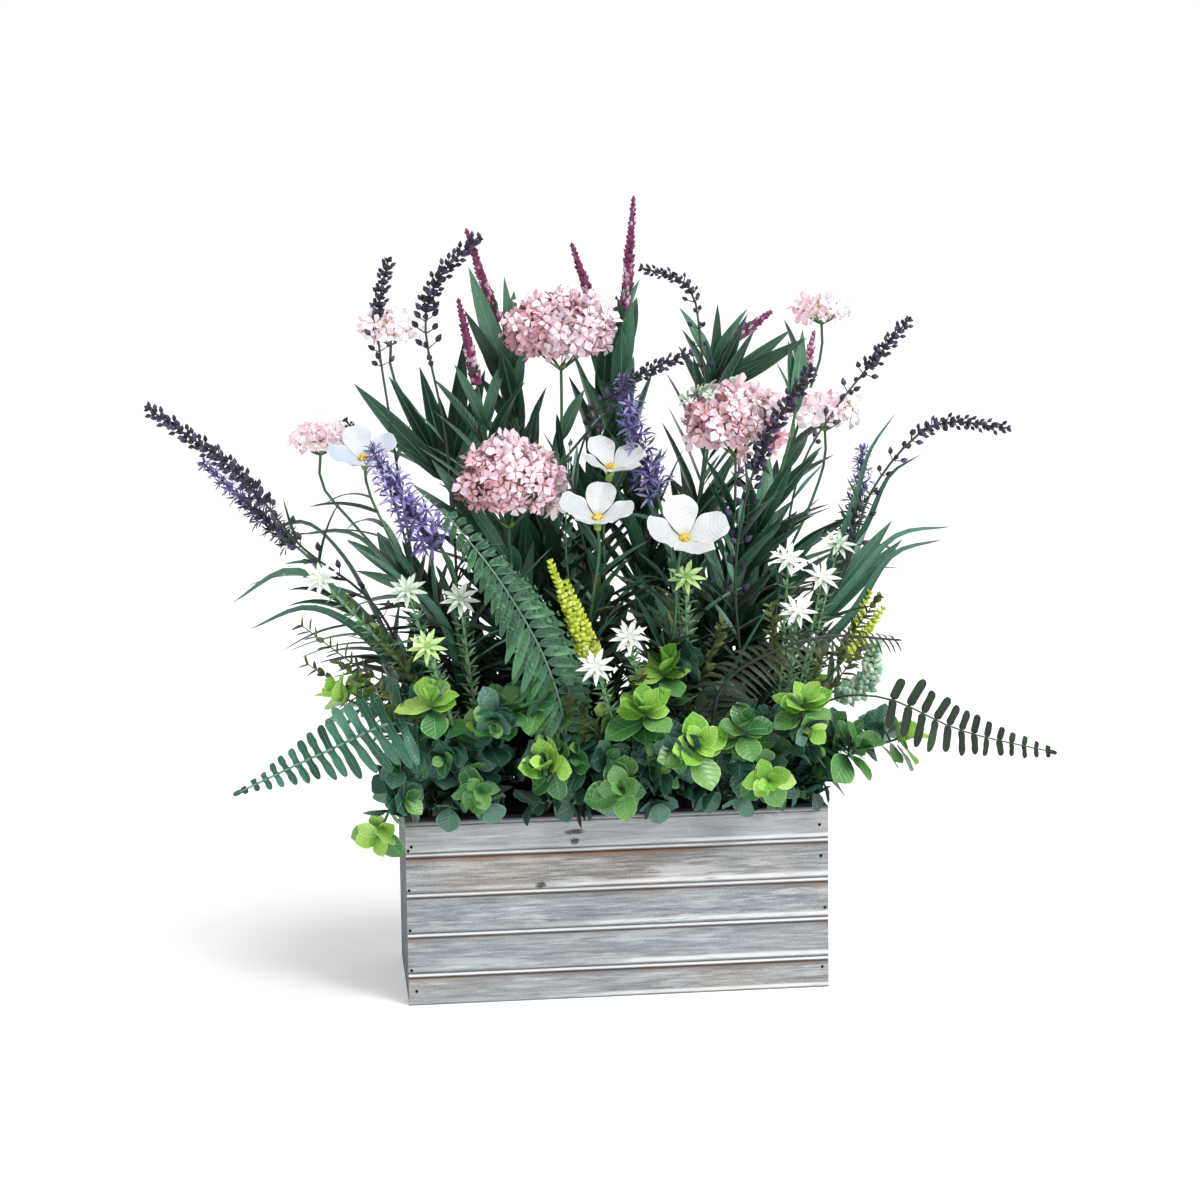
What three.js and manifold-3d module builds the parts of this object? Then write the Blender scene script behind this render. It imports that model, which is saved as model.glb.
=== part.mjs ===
// A table centerpiece of artificial flowers standing in a slatted, whitewashed planter box.
// Millimetres. +Z is up, +X runs along the box, -Y is the front, and the origin is the middle
// of the box's underside.

import * as THREE from 'three';
import { mergeVertices } from 'three/addons/utils/BufferGeometryUtils.js';
import Module from 'manifold-3d';

const wasm = await Module();
wasm.setup();

// ---------------------------------------------------------------- driving dimensions

const BOX = { length: 317.5, depth: 140, height: 140, board: 12 };
const SLATS = 5;
const OUTER_SLAT = 24.25;
const BEAD = 2.2;
const GROOVE = 1.4;
const CLEARANCE = 0.35;

const FOAM = { top: 126, holeDepth: 64, holeRadius: 2.95, sides: 4 };
const HANDLE = { radius: 2.3, top: 150 };

const STEM = { radius: 1.4, taper: 0.75, sides: 3, step: 66 };
const LEAF_THICKNESS = 0.9;
const PETAL_THICKNESS = 0.9;
const CLEAR = 0.3;
const TRIES = 14;

// ---------------------------------------------------------------- small helpers

const UP = new THREE.Vector3(0, 0, 1);
const SIDEWAYS = new THREE.Vector3(0, 1, 0);
const GOLDEN = Math.PI * (3 - Math.sqrt(5));

const vec = ([x, y, z]) => new THREE.Vector3(x, y, z);
const mix = THREE.MathUtils.lerp;

let seed = 20;

/** The next number from 0 to 1 of a fixed sequence. */
function random() {
  seed = (seed + 0x6d2b79f5) | 0;
  let t = Math.imul(seed ^ (seed >>> 15), 1 | seed);
  t = (t + Math.imul(t ^ (t >>> 7), 61 | t)) ^ t;
  return ((t ^ (t >>> 14)) >>> 0) / 4294967296;
}

const spread = (amount) => (random() - 0.5) * 2 * amount;

/** A closed geometry as a solid that can be cut and joined. */
function toSolid(geometry) {
  const bare = geometry.clone();
  bare.deleteAttribute('normal');
  bare.deleteAttribute('uv');
  const merged = mergeVertices(bare, 1e-4);
  const index = Array.from(merged.index.array);
  const kept = [];
  for (let i = 0; i < index.length; i += 3) {
    const [a, b, c] = index.slice(i, i + 3);
    if (a !== b && b !== c && c !== a) kept.push(a, b, c);
  }
  return new wasm.Manifold(new wasm.Mesh({
    numProp: 3,
    vertProperties: new Float32Array(merged.attributes.position.array),
    triVerts: new Uint32Array(kept),
  }));
}

/** A solid as a geometry with flat-shaded normals. */
function toGeometry(solid) {
  const mesh = solid.getMesh();
  const geometry = new THREE.BufferGeometry();
  geometry.setAttribute('position', new THREE.BufferAttribute(new Float32Array(mesh.vertProperties), 3));
  geometry.setIndex(new THREE.BufferAttribute(new Uint32Array(mesh.triVerts), 1));
  geometry.computeVertexNormals();
  return geometry;
}

/** Joins solids, keeps the largest body and leaves out slivers. */
function fuse(solids) {
  const whole = solids.length > 1 ? wasm.Manifold.union(solids) : solids[0];
  const bodies = whole.simplify(0.06).decompose();
  return bodies.reduce((a, b) => (a.volume() > b.volume() ? a : b));
}

/**
 * A rod whose rings follow a curve. `size(t)` gives a ring's half width and half thickness,
 * and `side` is the direction of its width. A ring of size 0 closes to a point.
 */
function rod(curve, steps, sides, size, side) {
  const geometry = new THREE.CylinderGeometry(1, 1, 1, sides, steps);
  const position = geometry.attributes.position;
  for (let i = 0; i < position.count; i += 1) {
    const t = position.getY(i) + 0.5;
    const [width, thickness] = size(t);
    const tangent = curve.getTangent(t);
    const across = side.clone().addScaledVector(tangent, -side.dot(tangent)).normalize();
    const face = new THREE.Vector3().crossVectors(across, tangent);
    const point = curve.getPoint(t)
      .addScaledVector(across, position.getX(i) * width)
      .addScaledVector(face, position.getZ(i) * thickness);
    position.setXYZ(i, point.x, point.y, point.z);
  }
  return toSolid(geometry);
}

/** A direction square to the given one, level where it can be. */
function sideOf(direction) {
  const side = new THREE.Vector3().crossVectors(direction, UP);
  return side.lengthSq() > 1e-4 ? side.normalize() : new THREE.Vector3(1, 0, 0);
}

/** The direction at `angle` round an axis. */
function around(axis, angle) {
  return sideOf(axis).applyAxisAngle(axis, angle);
}

/** Outlines of blades: the share of the full width at each place from root to tip. */
const LANCE = (t) => Math.sin(Math.PI * t ** 0.8) ** 0.6;
const ROUND = (t) => Math.sin(Math.PI * t ** 1.5) ** 0.6;
const PETAL = (t) => Math.sin(Math.PI * t ** 1.7) ** 0.8;

const BLADE = { sides: 3, steps: 3, thickness: LEAF_THICKNESS, outline: LANCE, droop: 0 };

/**
 * A blade with a keel along its back, from `root` toward `direction`. It sags by `droop` at its
 * tip. `side` is the way of its width. Its section is a flat triangle, and it ends in points.
 */
function blade(root, direction, shape) {
  const { length, width, droop, steps, thickness, outline, sides, side } = { ...BLADE, ...shape };
  const middle = root.clone()
    .addScaledVector(direction, length * 0.55)
    .addScaledVector(UP, droop * 0.25);
  const tip = root.clone().addScaledVector(direction, length).addScaledVector(UP, -droop);
  const curve = new THREE.QuadraticBezierCurve3(root, middle, tip);
  const halfWidth = width / 2 / Math.sin((Math.PI * 2) / 3);
  const size = (t) => (t <= 0 || t >= 1 ? [0, 0] : [halfWidth * outline(t), thickness / 1.5]);
  return rod(curve, steps, sides, size, side ?? sideOf(direction));
}

/** A star of `points` narrow petals: a shallow funnel with its root below its face. */
function star(centre, axis, radius, points, notch, root, lift, spin = 0) {
  const geometry = new THREE.CylinderGeometry(0, 0, 1, points * 2, 2);
  const position = geometry.attributes.position;
  const first = around(axis, spin);
  const second = new THREE.Vector3().crossVectors(axis, first);
  for (let i = 0; i < position.count; i += 1) {
    const level = position.getY(i);
    const step = Math.round(geometry.attributes.uv.getX(i) * points * 2) % (points * 2);
    const angle = (step * Math.PI) / points;
    const rim = Math.abs(level) < 0.25 ? radius * (step % 2 ? notch : 1) : 0;
    const height = rim > 0 ? lift * (step % 2 ? 0.4 : 1) : level > 0 ? 0.3 : -root;
    const point = centre.clone()
      .addScaledVector(first, rim * Math.cos(angle))
      .addScaledVector(second, rim * Math.sin(angle))
      .addScaledVector(axis, height);
    position.setXYZ(i, point.x, point.y, point.z);
  }
  return toSolid(geometry);
}

// ---------------------------------------------------------------- planting plan
// Every bush stands in one hole of the foam, given as [x, y]. Its stems are the points that
// they pass through after the foam, up to the tip.

const PINK_HEADS = {
  pink_head_1: { at: [-30, 10, 496], size: [87, 78, 60], florets: 17 },
  pink_head_2: { at: [-78, -75, 389], size: [83, 74, 66], florets: 17 },
  pink_head_3: { at: [93, -50, 430], size: [79, 70, 54], florets: 16 },
  pink_head_4: { at: [-155, 95, 496], size: [50, 46, 24], florets: 7 },
  pink_head_5: { at: [188, 100, 505], size: [44, 40, 22], florets: 6 },
  pink_head_6: { at: [185, 72, 426], size: [52, 46, 30], florets: 8 },
  pink_head_7: { at: [-212, 118, 409], size: [50, 44, 24], florets: 7 },
};

const PINK_BUSHES = {
  pink_bush_left: {
    hole: [-44, 2],
    stems: {
      pink_head_1: [[-38, 4, 300], [-31, 9, 400]],
      pink_head_2: [[-58, -34, 240], [-74, -66, 310]],
      pink_head_4: [[-85, 45, 300], [-132, 84, 420]],
      pink_head_7: [[-105, 55, 250], [-185, 104, 340]],
    },
  },
  pink_bush_right: {
    hole: [84, 14],
    stems: {
      pink_head_3: [[86, -10, 250], [92, -40, 340]],
      pink_head_5: [[125, 56, 300], [172, 90, 430]],
      pink_head_6: [[112, 40, 240], [170, 64, 350]],
    },
  },
};

const MAGENTA_SPIKES = {
  magenta_spike_1: { base: [23, 38, 510], tip: [31, 44, 595] },
  magenta_spike_2: { base: [4, 75, 505], tip: [-12, 92, 560] },
  magenta_spike_3: { base: [-76, 30, 502], tip: [-98, 34, 572] },
  magenta_spike_4: { base: [-95, -5, 458], tip: [-108, -14, 521] },
  magenta_spike_5: { base: [115, 70, 487], tip: [144, 82, 505] },
  magenta_spike_6: { base: [161, 40, 452], tip: [171, 44, 490] },
};

const MAGENTA_BUSHES = {
  magenta_bush_left: {
    hole: [-26, 26],
    stems: {
      magenta_spike_2: [[-10, 48, 300], [6, 66, 420]],
      magenta_spike_3: [[-42, 30, 300], [-62, 29, 420]],
      magenta_spike_4: [[-56, 16, 280], [-84, 2, 380]],
    },
  },
  magenta_bush_right: {
    hole: [48, 28],
    stems: {
      magenta_spike_1: [[38, 34, 300], [19, 36, 430]],
      magenta_spike_5: [[72, 46, 300], [92, 60, 420]],
      magenta_spike_6: [[100, 36, 280], [146, 40, 390]],
    },
  },
};

const VIOLET_SPIKES = {
  violet_spike_1: { base: [-234, 14, 338], tip: [-301, 34, 400] },
  violet_spike_2: { base: [-129, -79, 344], tip: [-177, -112, 418] },
  violet_spike_3: { base: [32, -70, 376], tip: [4, -92, 466] },
  violet_spike_4: { base: [193, 32, 320], tip: [214, 66, 397] },
};

const VIOLET_BUSHES = {
  violet_bush_left: {
    hole: [-100, -14],
    stems: {
      violet_spike_1: [[-150, -6, 240], [-203, 4, 300]],
      violet_spike_2: [[-112, -50, 240], [-119, -72, 305]],
      white_flower_4: [[-112, -22, 250], [-160, -16, 340]],
    },
  },
  violet_bush_right: {
    hole: [58, -16],
    stems: {
      violet_spike_3: [[52, -46, 260], [42, -64, 335]],
      violet_spike_4: [[118, 4, 210], [172, 20, 280]],
    },
  },
};

const DARK_BUSHES = {
  dark_lavender_left: {
    hole: [-122, -2],
    stems: [
      [[-172, -20, 290], [-230, -30, 343], [-272, -42, 397], [-336, -62, 449]],
      [[-142, 26, 300], [-158, 54, 425], [-165, 84, 504], [-155, 102, 551]],
      [[-113, -2, 290], [-119, -8, 417], [-133, -22, 510], [-121, -28, 540], [-92, -34, 568]],
      [[-138, 36, 280], [-164, 66, 385], [-192, 104, 426]],
    ],
  },
  dark_lavender_middle: {
    hole: [24, 2],
    stems: [
      [[62, 14, 300], [82, 24, 410], [80, 29, 480], [70, 30, 528], [33, 28, 542]],
      [[-6, -10, 290], [-24, -20, 385], [-3, -44, 446], [22, -52, 465], [60, -60, 481]],
    ],
  },
  dark_lavender_right: {
    hole: [112, 4],
    stems: [
      [[100, -34, 230], [91, -62, 327], [106, -88, 411], [140, -108, 471]],
      [[138, 20, 290], [158, 34, 384], [189, 52, 429], [256, 84, 498]],
      [[152, 0, 230], [189, -4, 317], [205, -12, 372], [250, -24, 421], [306, -34, 418]],
    ],
  },
};

const WHITE_FLOWERS = {
  white_flower_1: { at: [-5, -88, 399], axis: [0.1, -0.5, 0.86], petal: 27, spin: 0.3 },
  white_flower_2: { at: [-18, -116, 366], axis: [-0.1, -0.55, 0.83], petal: 28, spin: -0.15 },
  white_flower_3: { at: [43, -126, 351], axis: [0.05, -0.7, 0.71], petal: 32, spin: 0.1 },
  white_flower_4: { at: [-181, -16, 404], axis: [-0.1, -0.62, 0.78], petal: 27, spin: 0.35 },
};

const WHITE_BUSHES = {
  white_stems_middle: {
    hole: [-6, -34],
    stems: {
      white_flower_1: [[-8, -48, 220], [-8, -66, 310]],
      white_flower_2: [[-20, -60, 210], [-22, -88, 285]],
      white_flower_3: [[16, -58, 200], [38, -88, 265]],
    },
  },
};

const STAR_SPRAYS = {
  star_spray_left: {
    hole: [-84, -36],
    stems: [
      [[-135, -54, 225], [-215, -86, 324]],
      [[-122, -68, 215], [-154, -102, 316]],
      [[-104, -76, 215], [-117, -112, 310]],
      [[-116, -88, 195], [-142, -128, 279]],
    ],
  },
  star_spray_middle: {
    hole: [44, -34],
    stems: [
      [[24, -78, 195], [3, -124, 281]],
      [[6, -86, 186], [-22, -130, 261]],
      [[52, -60, 220], [48, -100, 320]],
    ],
  },
  star_spray_right: {
    hole: [122, -28],
    stems: [
      [[127, -46, 235], [129, -70, 327]],
      [[154, -20, 240], [179, -10, 330]],
      [[143, -38, 225], [157, -56, 311]],
      [[127, -62, 205], [131, -95, 292]],
    ],
  },
};

const YELLOW_SPRIGS = {
  yellow_sprig_left: {
    hole: [-32, -42],
    stem: [[-24, -78, 195], [-26, -104, 262]],
    lobes: [[[-26, -104, 262], [-53, -118, 338]], [[-19, -104, 266], [-41, -114, 322]]],
  },
  yellow_sprig_right: {
    hole: [134, 8],
    stem: [[156, 6, 190], [184, 6, 238]],
    lobes: [[[184, 6, 238], [208, 10, 290]], [[188, 10, 236], [221, 20, 276]]],
  },
};

const FERNS = {
  fern_left: {
    hole: [-138, -34],
    path: [[-128, -84, 195], [-160, -106, 222], [-213, -100, 202], [-278, -92, 172]],
    face: [-0.1, -0.85, 0.5], pairs: 11, leaflet: 34, width: 11,
  },
  fern_front: {
    hole: [-56, -44],
    path: [[-40, -90, 190], [-56, -122, 262], [-90, -130, 326], [-127, -118, 374]],
    face: [0.1, -0.9, 0.3], pairs: 10, leaflet: 30, width: 12,
  },
  fern_middle: {
    hole: [2, -8],
    path: [[-20, -28, 250], [-34, -50, 329], [-34, -56, 374], [-31, -62, 420]],
    face: [0.85, -0.5, 0.1], pairs: 7, leaflet: 16, width: 7,
  },
  fern_right: {
    hole: [84, -46],
    path: [[68, -92, 190], [74, -114, 245], [140, -120, 276], [205, -104, 270]],
    face: [0, -0.7, 0.7], pairs: 10, leaflet: 30, width: 7,
  },
  fern_far_right: {
    hole: [140, -14],
    path: [[158, -46, 212], [196, -82, 224], [255, -88, 198], [327, -84, 178]],
    face: [0, -0.85, 0.5], pairs: 10, leaflet: 24, width: 9,
  },
};

const EUCALYPTUS = {
  eucalyptus_front_left: {
    hole: [-112, -46],
    stems: [
      [[-150, -80, 185], [-180, -94, 135]],
      [[-112, -88, 190], [-107, -118, 171]],
      [[-150, -62, 205], [-206, -66, 236]],
      [[-124, -84, 190], [-140, -116, 240]],
      [[-100, -84, 188], [-88, -120, 236]],
    ],
  },
  eucalyptus_front_middle: {
    hole: [18, -46],
    stems: [
      [[-30, -90, 184], [-58, -124, 190]],
      [[-28, -86, 196], [-66, -118, 240]],
      [[16, -84, 186], [14, -122, 230]],
      [[42, -88, 188], [53, -128, 202]],
      [[6, -92, 172], [-4, -122, 170]],
      [[32, -72, 198], [30, -104, 256]],
    ],
  },
  eucalyptus_front_right: {
    hole: [104, -48],
    stems: [
      [[122, -80, 188], [133, -114, 230]],
      [[146, -66, 176], [180, -86, 188]],
      [[104, -90, 180], [104, -120, 172]],
      [[162, -52, 168], [222, -60, 190]],
      [[90, -84, 184], [86, -122, 214]],
    ],
  },
  eucalyptus_back_left: {
    hole: [-84, 42],
    stems: [
      [[-114, 76, 190], [-136, 104, 226]],
      [[-54, 82, 190], [-44, 116, 212]],
      [[-126, 64, 186], [-184, 84, 214]],
    ],
  },
  eucalyptus_back_right: {
    hole: [76, 46],
    stems: [
      [[106, 78, 190], [126, 106, 228]],
      [[56, 84, 188], [46, 116, 212]],
      [[124, 66, 184], [178, 86, 216]],
    ],
  },
};

// ---------------------------------------------------------------- materials

const finish = (color, roughness, metalness = 0) =>
  new THREE.MeshStandardMaterial({ color, roughness, metalness, flatShading: true });

const MATERIALS = {
  board: finish(0xaab0b4, 0.85),
  foam: finish(0x2e4a34, 0.95),
  pink: finish(0xeebfc4, 0.8),
  magenta: finish(0x84345f, 0.75),
  violet: finish(0x7468b8, 0.8),
  dark: finish(0x332c3d, 0.7),
  white: finish(0xeef0ee, 0.7),
  star: finish(0xcfe0cc, 0.7),
  yellow: finish(0xc4d54c, 0.7),
  stem: finish(0x2f5b3f, 0.6),
  fern: finish(0x3b6a55, 0.5),
  eucalyptus: finish(0x6aa551, 0.5),
};

// ---------------------------------------------------------------- the box

/** A block with its middle at the given place. */
function block(width, depth, height, x, y, z) {
  return toSolid(new THREE.BoxGeometry(width, depth, height).translate(x, y, z));
}

/** One slat: a board whose top edge has a bead, with a groove under the bead. */
function slat(bottom, height, side) {
  const half = BOX.depth / 2;
  const outline = new THREE.Shape();
  outline.moveTo(half - BOX.board, 0);
  outline.lineTo(half, 0);
  outline.lineTo(half, height - BEAD - GROOVE);
  outline.lineTo(half - GROOVE, height - BEAD - GROOVE / 2);
  outline.lineTo(half, height - BEAD);
  outline.lineTo(half, height - BEAD / 2);
  outline.lineTo(half - BEAD / 2, height);
  outline.lineTo(half - BOX.board, height);
  outline.closePath();
  const board = new THREE.ExtrudeGeometry(outline, { depth: BOX.length, steps: 1, bevelEnabled: false });
  board.translate(0, 0, -BOX.length / 2);
  board.rotateX(Math.PI / 2);
  board.rotateZ((side * Math.PI) / 2);
  board.translate(0, 0, bottom);
  return toSolid(board);
}

/** The heights of the five slats, from the bottom up. */
function slatHeights() {
  const inner = (BOX.height - 2 * OUTER_SLAT) / (SLATS - 2);
  return Array.from({ length: SLATS }, (_, i) => (i % (SLATS - 1) === 0 ? OUTER_SLAT : inner));
}

function boxBoards() {
  const boards = {};
  let bottom = 0;
  slatHeights().forEach((height, i) => {
    const gap = i < SLATS - 1 ? CLEARANCE : 0;
    boards[`slat_front_${i + 1}`] = slat(bottom, height - gap, -1);
    boards[`slat_back_${i + 1}`] = slat(bottom, height - gap, 1);
    bottom += height;
  });
  const depth = BOX.depth - 2 * (BOX.board + CLEARANCE);
  const x = (BOX.length - BOX.board) / 2;
  boards.end_left = block(BOX.board, depth, BOX.height, -x, 0, BOX.height / 2);
  boards.end_right = block(BOX.board, depth, BOX.height, x, 0, BOX.height / 2);
  const inside = BOX.length - 2 * (BOX.board + CLEARANCE);
  boards.base_board = block(inside, depth, BOX.board, 0, 0, BOX.board / 2);
  return boards;
}

/** The foam block, with a plain hole for each bush. */
function foamBlock(holes) {
  const bottom = BOX.board + CLEARANCE;
  const length = BOX.length - 2 * (BOX.board + 2 * CLEARANCE);
  const depth = BOX.depth - 2 * (BOX.board + 2 * CLEARANCE);
  const body = block(length, depth, FOAM.top - bottom, 0, 0, (FOAM.top + bottom) / 2);
  const cuts = holes.map(([x, y]) => {
    const tool = new THREE.CylinderGeometry(FOAM.holeRadius, FOAM.holeRadius, FOAM.holeDepth * 2, FOAM.sides);
    return toSolid(tool.rotateX(Math.PI / 2).translate(x, y, FOAM.top));
  });
  return body.subtract(wasm.Manifold.union(cuts));
}

// ---------------------------------------------------------------- placing without crossings

const placed = [];
const plants = new Map();

/** Notes a piece that foliage has to keep clear of. */
function keep(name, solid) {
  placed.push({ name, solid, box: solid.boundingBox() });
  return solid;
}

/** Adds a piece to a plant, which becomes one body. */
function grow(name, solid) {
  plants.get(name).solids.push(solid);
  return keep(name, solid);
}

const apart = (a, b) => [0, 1, 2].some((i) => a.min[i] > b.max[i] + CLEAR || b.min[i] > a.max[i] + CLEAR);

/** Whether a piece stays clear of every piece of the other plants and of the box. */
function isClear(name, solid) {
  const box = solid.boundingBox();
  return placed.every((other) => other.name === name || apart(other.box, box)
    || other.solid.minGap(solid, CLEAR) >= CLEAR * 0.999);
}

/** Tries `make(attempt)` until a piece is clear, adds it to the plant and says whether one was. */
function place(name, make, tries = TRIES) {
  for (let attempt = 0; attempt < tries; attempt += 1) {
    const solid = make(attempt);
    if (isClear(name, solid)) {
      grow(name, solid);
      return true;
    }
  }
  return false;
}

/** The points between the ends of a stem, bent sideways a little more at each attempt. */
function bend(points, attempt) {
  const shift = new THREE.Vector3(1.8 * attempt, 0, 0).applyAxisAngle(UP, attempt * GOLDEN);
  return points.map((point, i) => {
    const inside = i > 0 && i < points.length - 1;
    return inside ? point.clone().add(shift) : point;
  });
}

/** The straight pieces between the rings of a rod along a curve, so that leaves start on it. */
function straightened(curve, steps) {
  const path = new THREE.CurvePath();
  const points = curve.getPoints(steps);
  for (let i = 0; i < steps; i += 1) path.add(new THREE.LineCurve3(points[i], points[i + 1]));
  return path;
}

/** A stem from the top of its handle through `points`, kept as a path for what grows on it. */
function stem(name, hole, points, radius = STEM.radius) {
  const start = new THREE.Vector3(hole[0], hole[1], FOAM.top + 3);
  const whole = [start, ...points];
  let path = null;
  const done = place(name, (attempt) => {
    const curve = new THREE.CatmullRomCurve3(bend(whole, attempt));
    const steps = Math.max(4, Math.round(curve.getLength() / STEM.step));
    path = straightened(curve, steps);
    const size = (t) => new Array(2).fill(radius * mix(1, STEM.taper, t));
    return rod(curve, steps, STEM.sides, size, SIDEWAYS);
  }, 40);
  if (!done) throw new Error(`no clear way for a stem of ${name}`);
  return path;
}

/** The handle of a bush, standing in its hole. */
function handle(name, [x, y]) {
  const bottom = FOAM.top - FOAM.holeDepth + CLEARANCE;
  const peg = new THREE.CylinderGeometry(HANDLE.radius * 0.8, HANDLE.radius, HANDLE.top - bottom, FOAM.sides);
  peg.rotateX(Math.PI / 2).translate(x, y, (HANDLE.top + bottom) / 2);
  grow(name, toSolid(peg));
}

/** Starts a plant: its material and, for a bush, its handle. */
function plant(name, material, hole) {
  plants.set(name, { material, solids: [] });
  if (hole) handle(name, hole);
}

/** Lance leaves round a stem between two places on it, shorter toward its tip. */
function leaves(name, curve, { from, to, count, length, width, droop, open }) {
  for (let i = 0; i < count; i += 1) {
    const t = mix(from, to, i / (count - 1));
    const root = curve.getPoint(t);
    const tangent = curve.getTangent(t);
    const turn = random() * Math.PI * 2;
    const reach = length * mix(1.1, 0.8, t) * (1 + spread(0.12));
    place(name, (attempt) => {
      const out = around(tangent, turn + attempt * GOLDEN);
      const lean = open * (1 + 0.08 * (attempt % 3));
      const direction = tangent.clone().multiplyScalar(Math.cos(lean)).addScaledVector(out, Math.sin(lean));
      const shorter = attempt > TRIES / 2 ? 0.75 : 1;
      return blade(root, direction.normalize(), { length: reach * shorter, width, droop });
    });
  }
}

// ---------------------------------------------------------------- blooms

/** The point under a bloom where its stem ends, and the point before it. */
function seat(foot, axis) {
  return [foot.clone().addScaledVector(axis, -22), foot.clone().addScaledVector(axis, -CLEARANCE)];
}

const LARGE_HEAD = 60;
const CORE_SHARE = 0.34;
const FLORET = { radius: 14, notch: 0.6, root: 13, lift: 4.5 };

/** The dense middle of a clustered head, with the short collar that its stem meets. */
function pinkCore(name, { at, size }) {
  const core = new THREE.IcosahedronGeometry(1, size[0] > LARGE_HEAD ? 1 : 0);
  core.scale(...size.map((value) => value * CORE_SHARE));
  const height = size[2] / 2;
  const collar = new THREE.CylinderGeometry(4, 1.8, height, 5);
  collar.rotateX(Math.PI / 2).translate(0, 0, -height / 2);
  plant(name, 'pink');
  grow(name, toSolid(core.translate(...at)));
  grow(name, toSolid(collar.translate(...at)));
  return { foot: vec(at).addScaledVector(UP, -height), axis: UP };
}

/** Four-petalled florets spread evenly over the top and sides of a head. */
function pinkFlorets(name, { at, size, florets }) {
  const half = size.map((value) => value / 2);
  const large = size[0] > LARGE_HEAD;
  const lowest = large ? -0.6 : -0.3;
  for (let i = 0; i < florets; i += 1) {
    const z = mix(0.97, lowest, i / (florets - 1));
    const flat = Math.sqrt(1 - z * z);
    const angle = i * GOLDEN;
    const normal = new THREE.Vector3(flat * Math.cos(angle), flat * Math.sin(angle), z);
    const out = new THREE.Vector3(normal.x / half[0], normal.y / half[1], normal.z / half[2]).normalize();
    const scale = (large ? 1 : 0.72) * (1 + spread(0.06));
    const spin = random() * Math.PI;
    place(name, (attempt) => {
      const sunk = FLORET.lift * scale + attempt;
      const centre = vec(at).add(normal.clone().multiply(vec(half))).addScaledVector(out, -sunk);
      const { radius, notch, root, lift } = FLORET;
      return star(centre, out, radius * scale, 4, notch, root * scale, lift * scale, spin);
    }, 4);
  }
}

/** A tapered spike whose knobs are raised rings, thinnest at its tip. */
function ridgedSpike(base, tip, radius, rings, sides = 6) {
  const curve = new THREE.LineCurve3(base, tip);
  const size = (t) => {
    const knob = Math.round(t * rings) % 2 ? 1.25 : 0.78;
    const taper = t >= 1 ? 0 : mix(1, 0.3, t ** 1.3) * (t <= 0 ? 0.55 : 1);
    return [radius * taper * knob, radius * taper * knob];
  };
  return rod(curve, rings, sides, size, SIDEWAYS);
}

/** A spike's body, and where its stem meets it. */
function spikeBody(name, material, { base, tip }, radius, rings, sides) {
  plant(name, material);
  grow(name, ridgedSpike(vec(base), vec(tip), radius, rings, sides));
  return { foot: vec(base), axis: vec(tip).sub(vec(base)).normalize() };
}

const SPIRE = { spacing: 7.4, from: 0.06, to: 0.93, lengths: [20, 10], width: 6, thickness: 2.4 };

/** Pointed florets standing out all round the slim core of a blue-violet spike. */
function violetFlorets(name, base, tip) {
  const axis = tip.clone().sub(base).normalize();
  const length = tip.distanceTo(base);
  const count = Math.round(length / SPIRE.spacing);
  const { width, thickness } = SPIRE;
  for (let i = 0; i < count; i += 1) {
    const t = mix(SPIRE.from, SPIRE.to, i / (count - 1));
    const root = base.clone().addScaledVector(axis, length * t);
    const reach = mix(...SPIRE.lengths, t ** 1.5);
    place(name, (attempt) => {
      const out = around(axis, i * GOLDEN + attempt * 0.5);
      const direction = axis.clone().multiplyScalar(0.75).addScaledVector(out, 0.85).normalize();
      return blade(root, direction, { length: reach, width, steps: 2, thickness });
    }, 5);
  }
}

const HUB = { radius: 3.6, depth: 9, rise: 3 };

/** The hub of a white flower, whose foot its stem meets. */
function whiteHub(name, { at, axis }) {
  const up = vec(axis).normalize();
  const centre = vec(at);
  plant(name, 'white');
  const foot = centre.clone().addScaledVector(up, -HUB.depth);
  const curve = new THREE.LineCurve3(foot, centre.clone().addScaledVector(up, HUB.rise));
  const size = (t) => new Array(2).fill(t <= 0 ? HUB.radius / 2 : HUB.radius);
  grow(name, rod(curve, 3, 5, size, SIDEWAYS));
  return { foot, axis: up };
}

const CUP = 0.52;

function whitePetals(name, { at, axis, petal, spin }) {
  const up = vec(axis).normalize();
  for (let i = 0; i < 4; i += 1) {
    place(name, (attempt) => {
      const out = around(up, (i * Math.PI) / 2 + spin + attempt * 0.06);
      const direction = out.clone().addScaledVector(up, CUP + 0.06 * attempt).normalize();
      return petalBlade(vec(at), direction, up, petal, petal * 0.98);
    }, 8);
  }
}

/** A broad rounded petal, cupped toward the flower's axis. */
function petalBlade(root, direction, up, length, width) {
  const tip = root.clone().addScaledVector(direction, length);
  const middle = root.clone().addScaledVector(direction, length * 0.55).addScaledVector(up, -length * 0.14);
  const curve = new THREE.QuadraticBezierCurve3(root, middle, tip);
  const side = new THREE.Vector3().crossVectors(direction, up).normalize();
  const size = (t) => {
    if (t <= 0) return [0, 0];
    const share = t >= 1 ? 0.45 : PETAL(t);
    return [width * 0.58 * share, PETAL_THICKNESS * 0.67];
  };
  return rod(curve, 3, 3, size, side);
}

// ---------------------------------------------------------------- bushes

/** A bush of green stems, each ending under the bloom that it carries. */
function bloomBush(name, { hole, stems }, feet) {
  plant(name, 'stem', hole);
  return Object.entries(stems).map(([bloom, points]) => {
    const { foot, axis } = feet[bloom];
    return stem(name, hole, [...points.map(vec), ...seat(foot, axis)]);
  });
}

/** A bush whose stems run to their own tips. */
function plainBush(name, material, { hole, stems }) {
  plant(name, material, hole);
  return stems.map((points) => stem(name, hole, points.map(vec)));
}

const BUDS = { dense: 7, reach: 78, spaced: 2, spacing: 24, radius: 3.2, lengths: [9, 12] };

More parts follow.
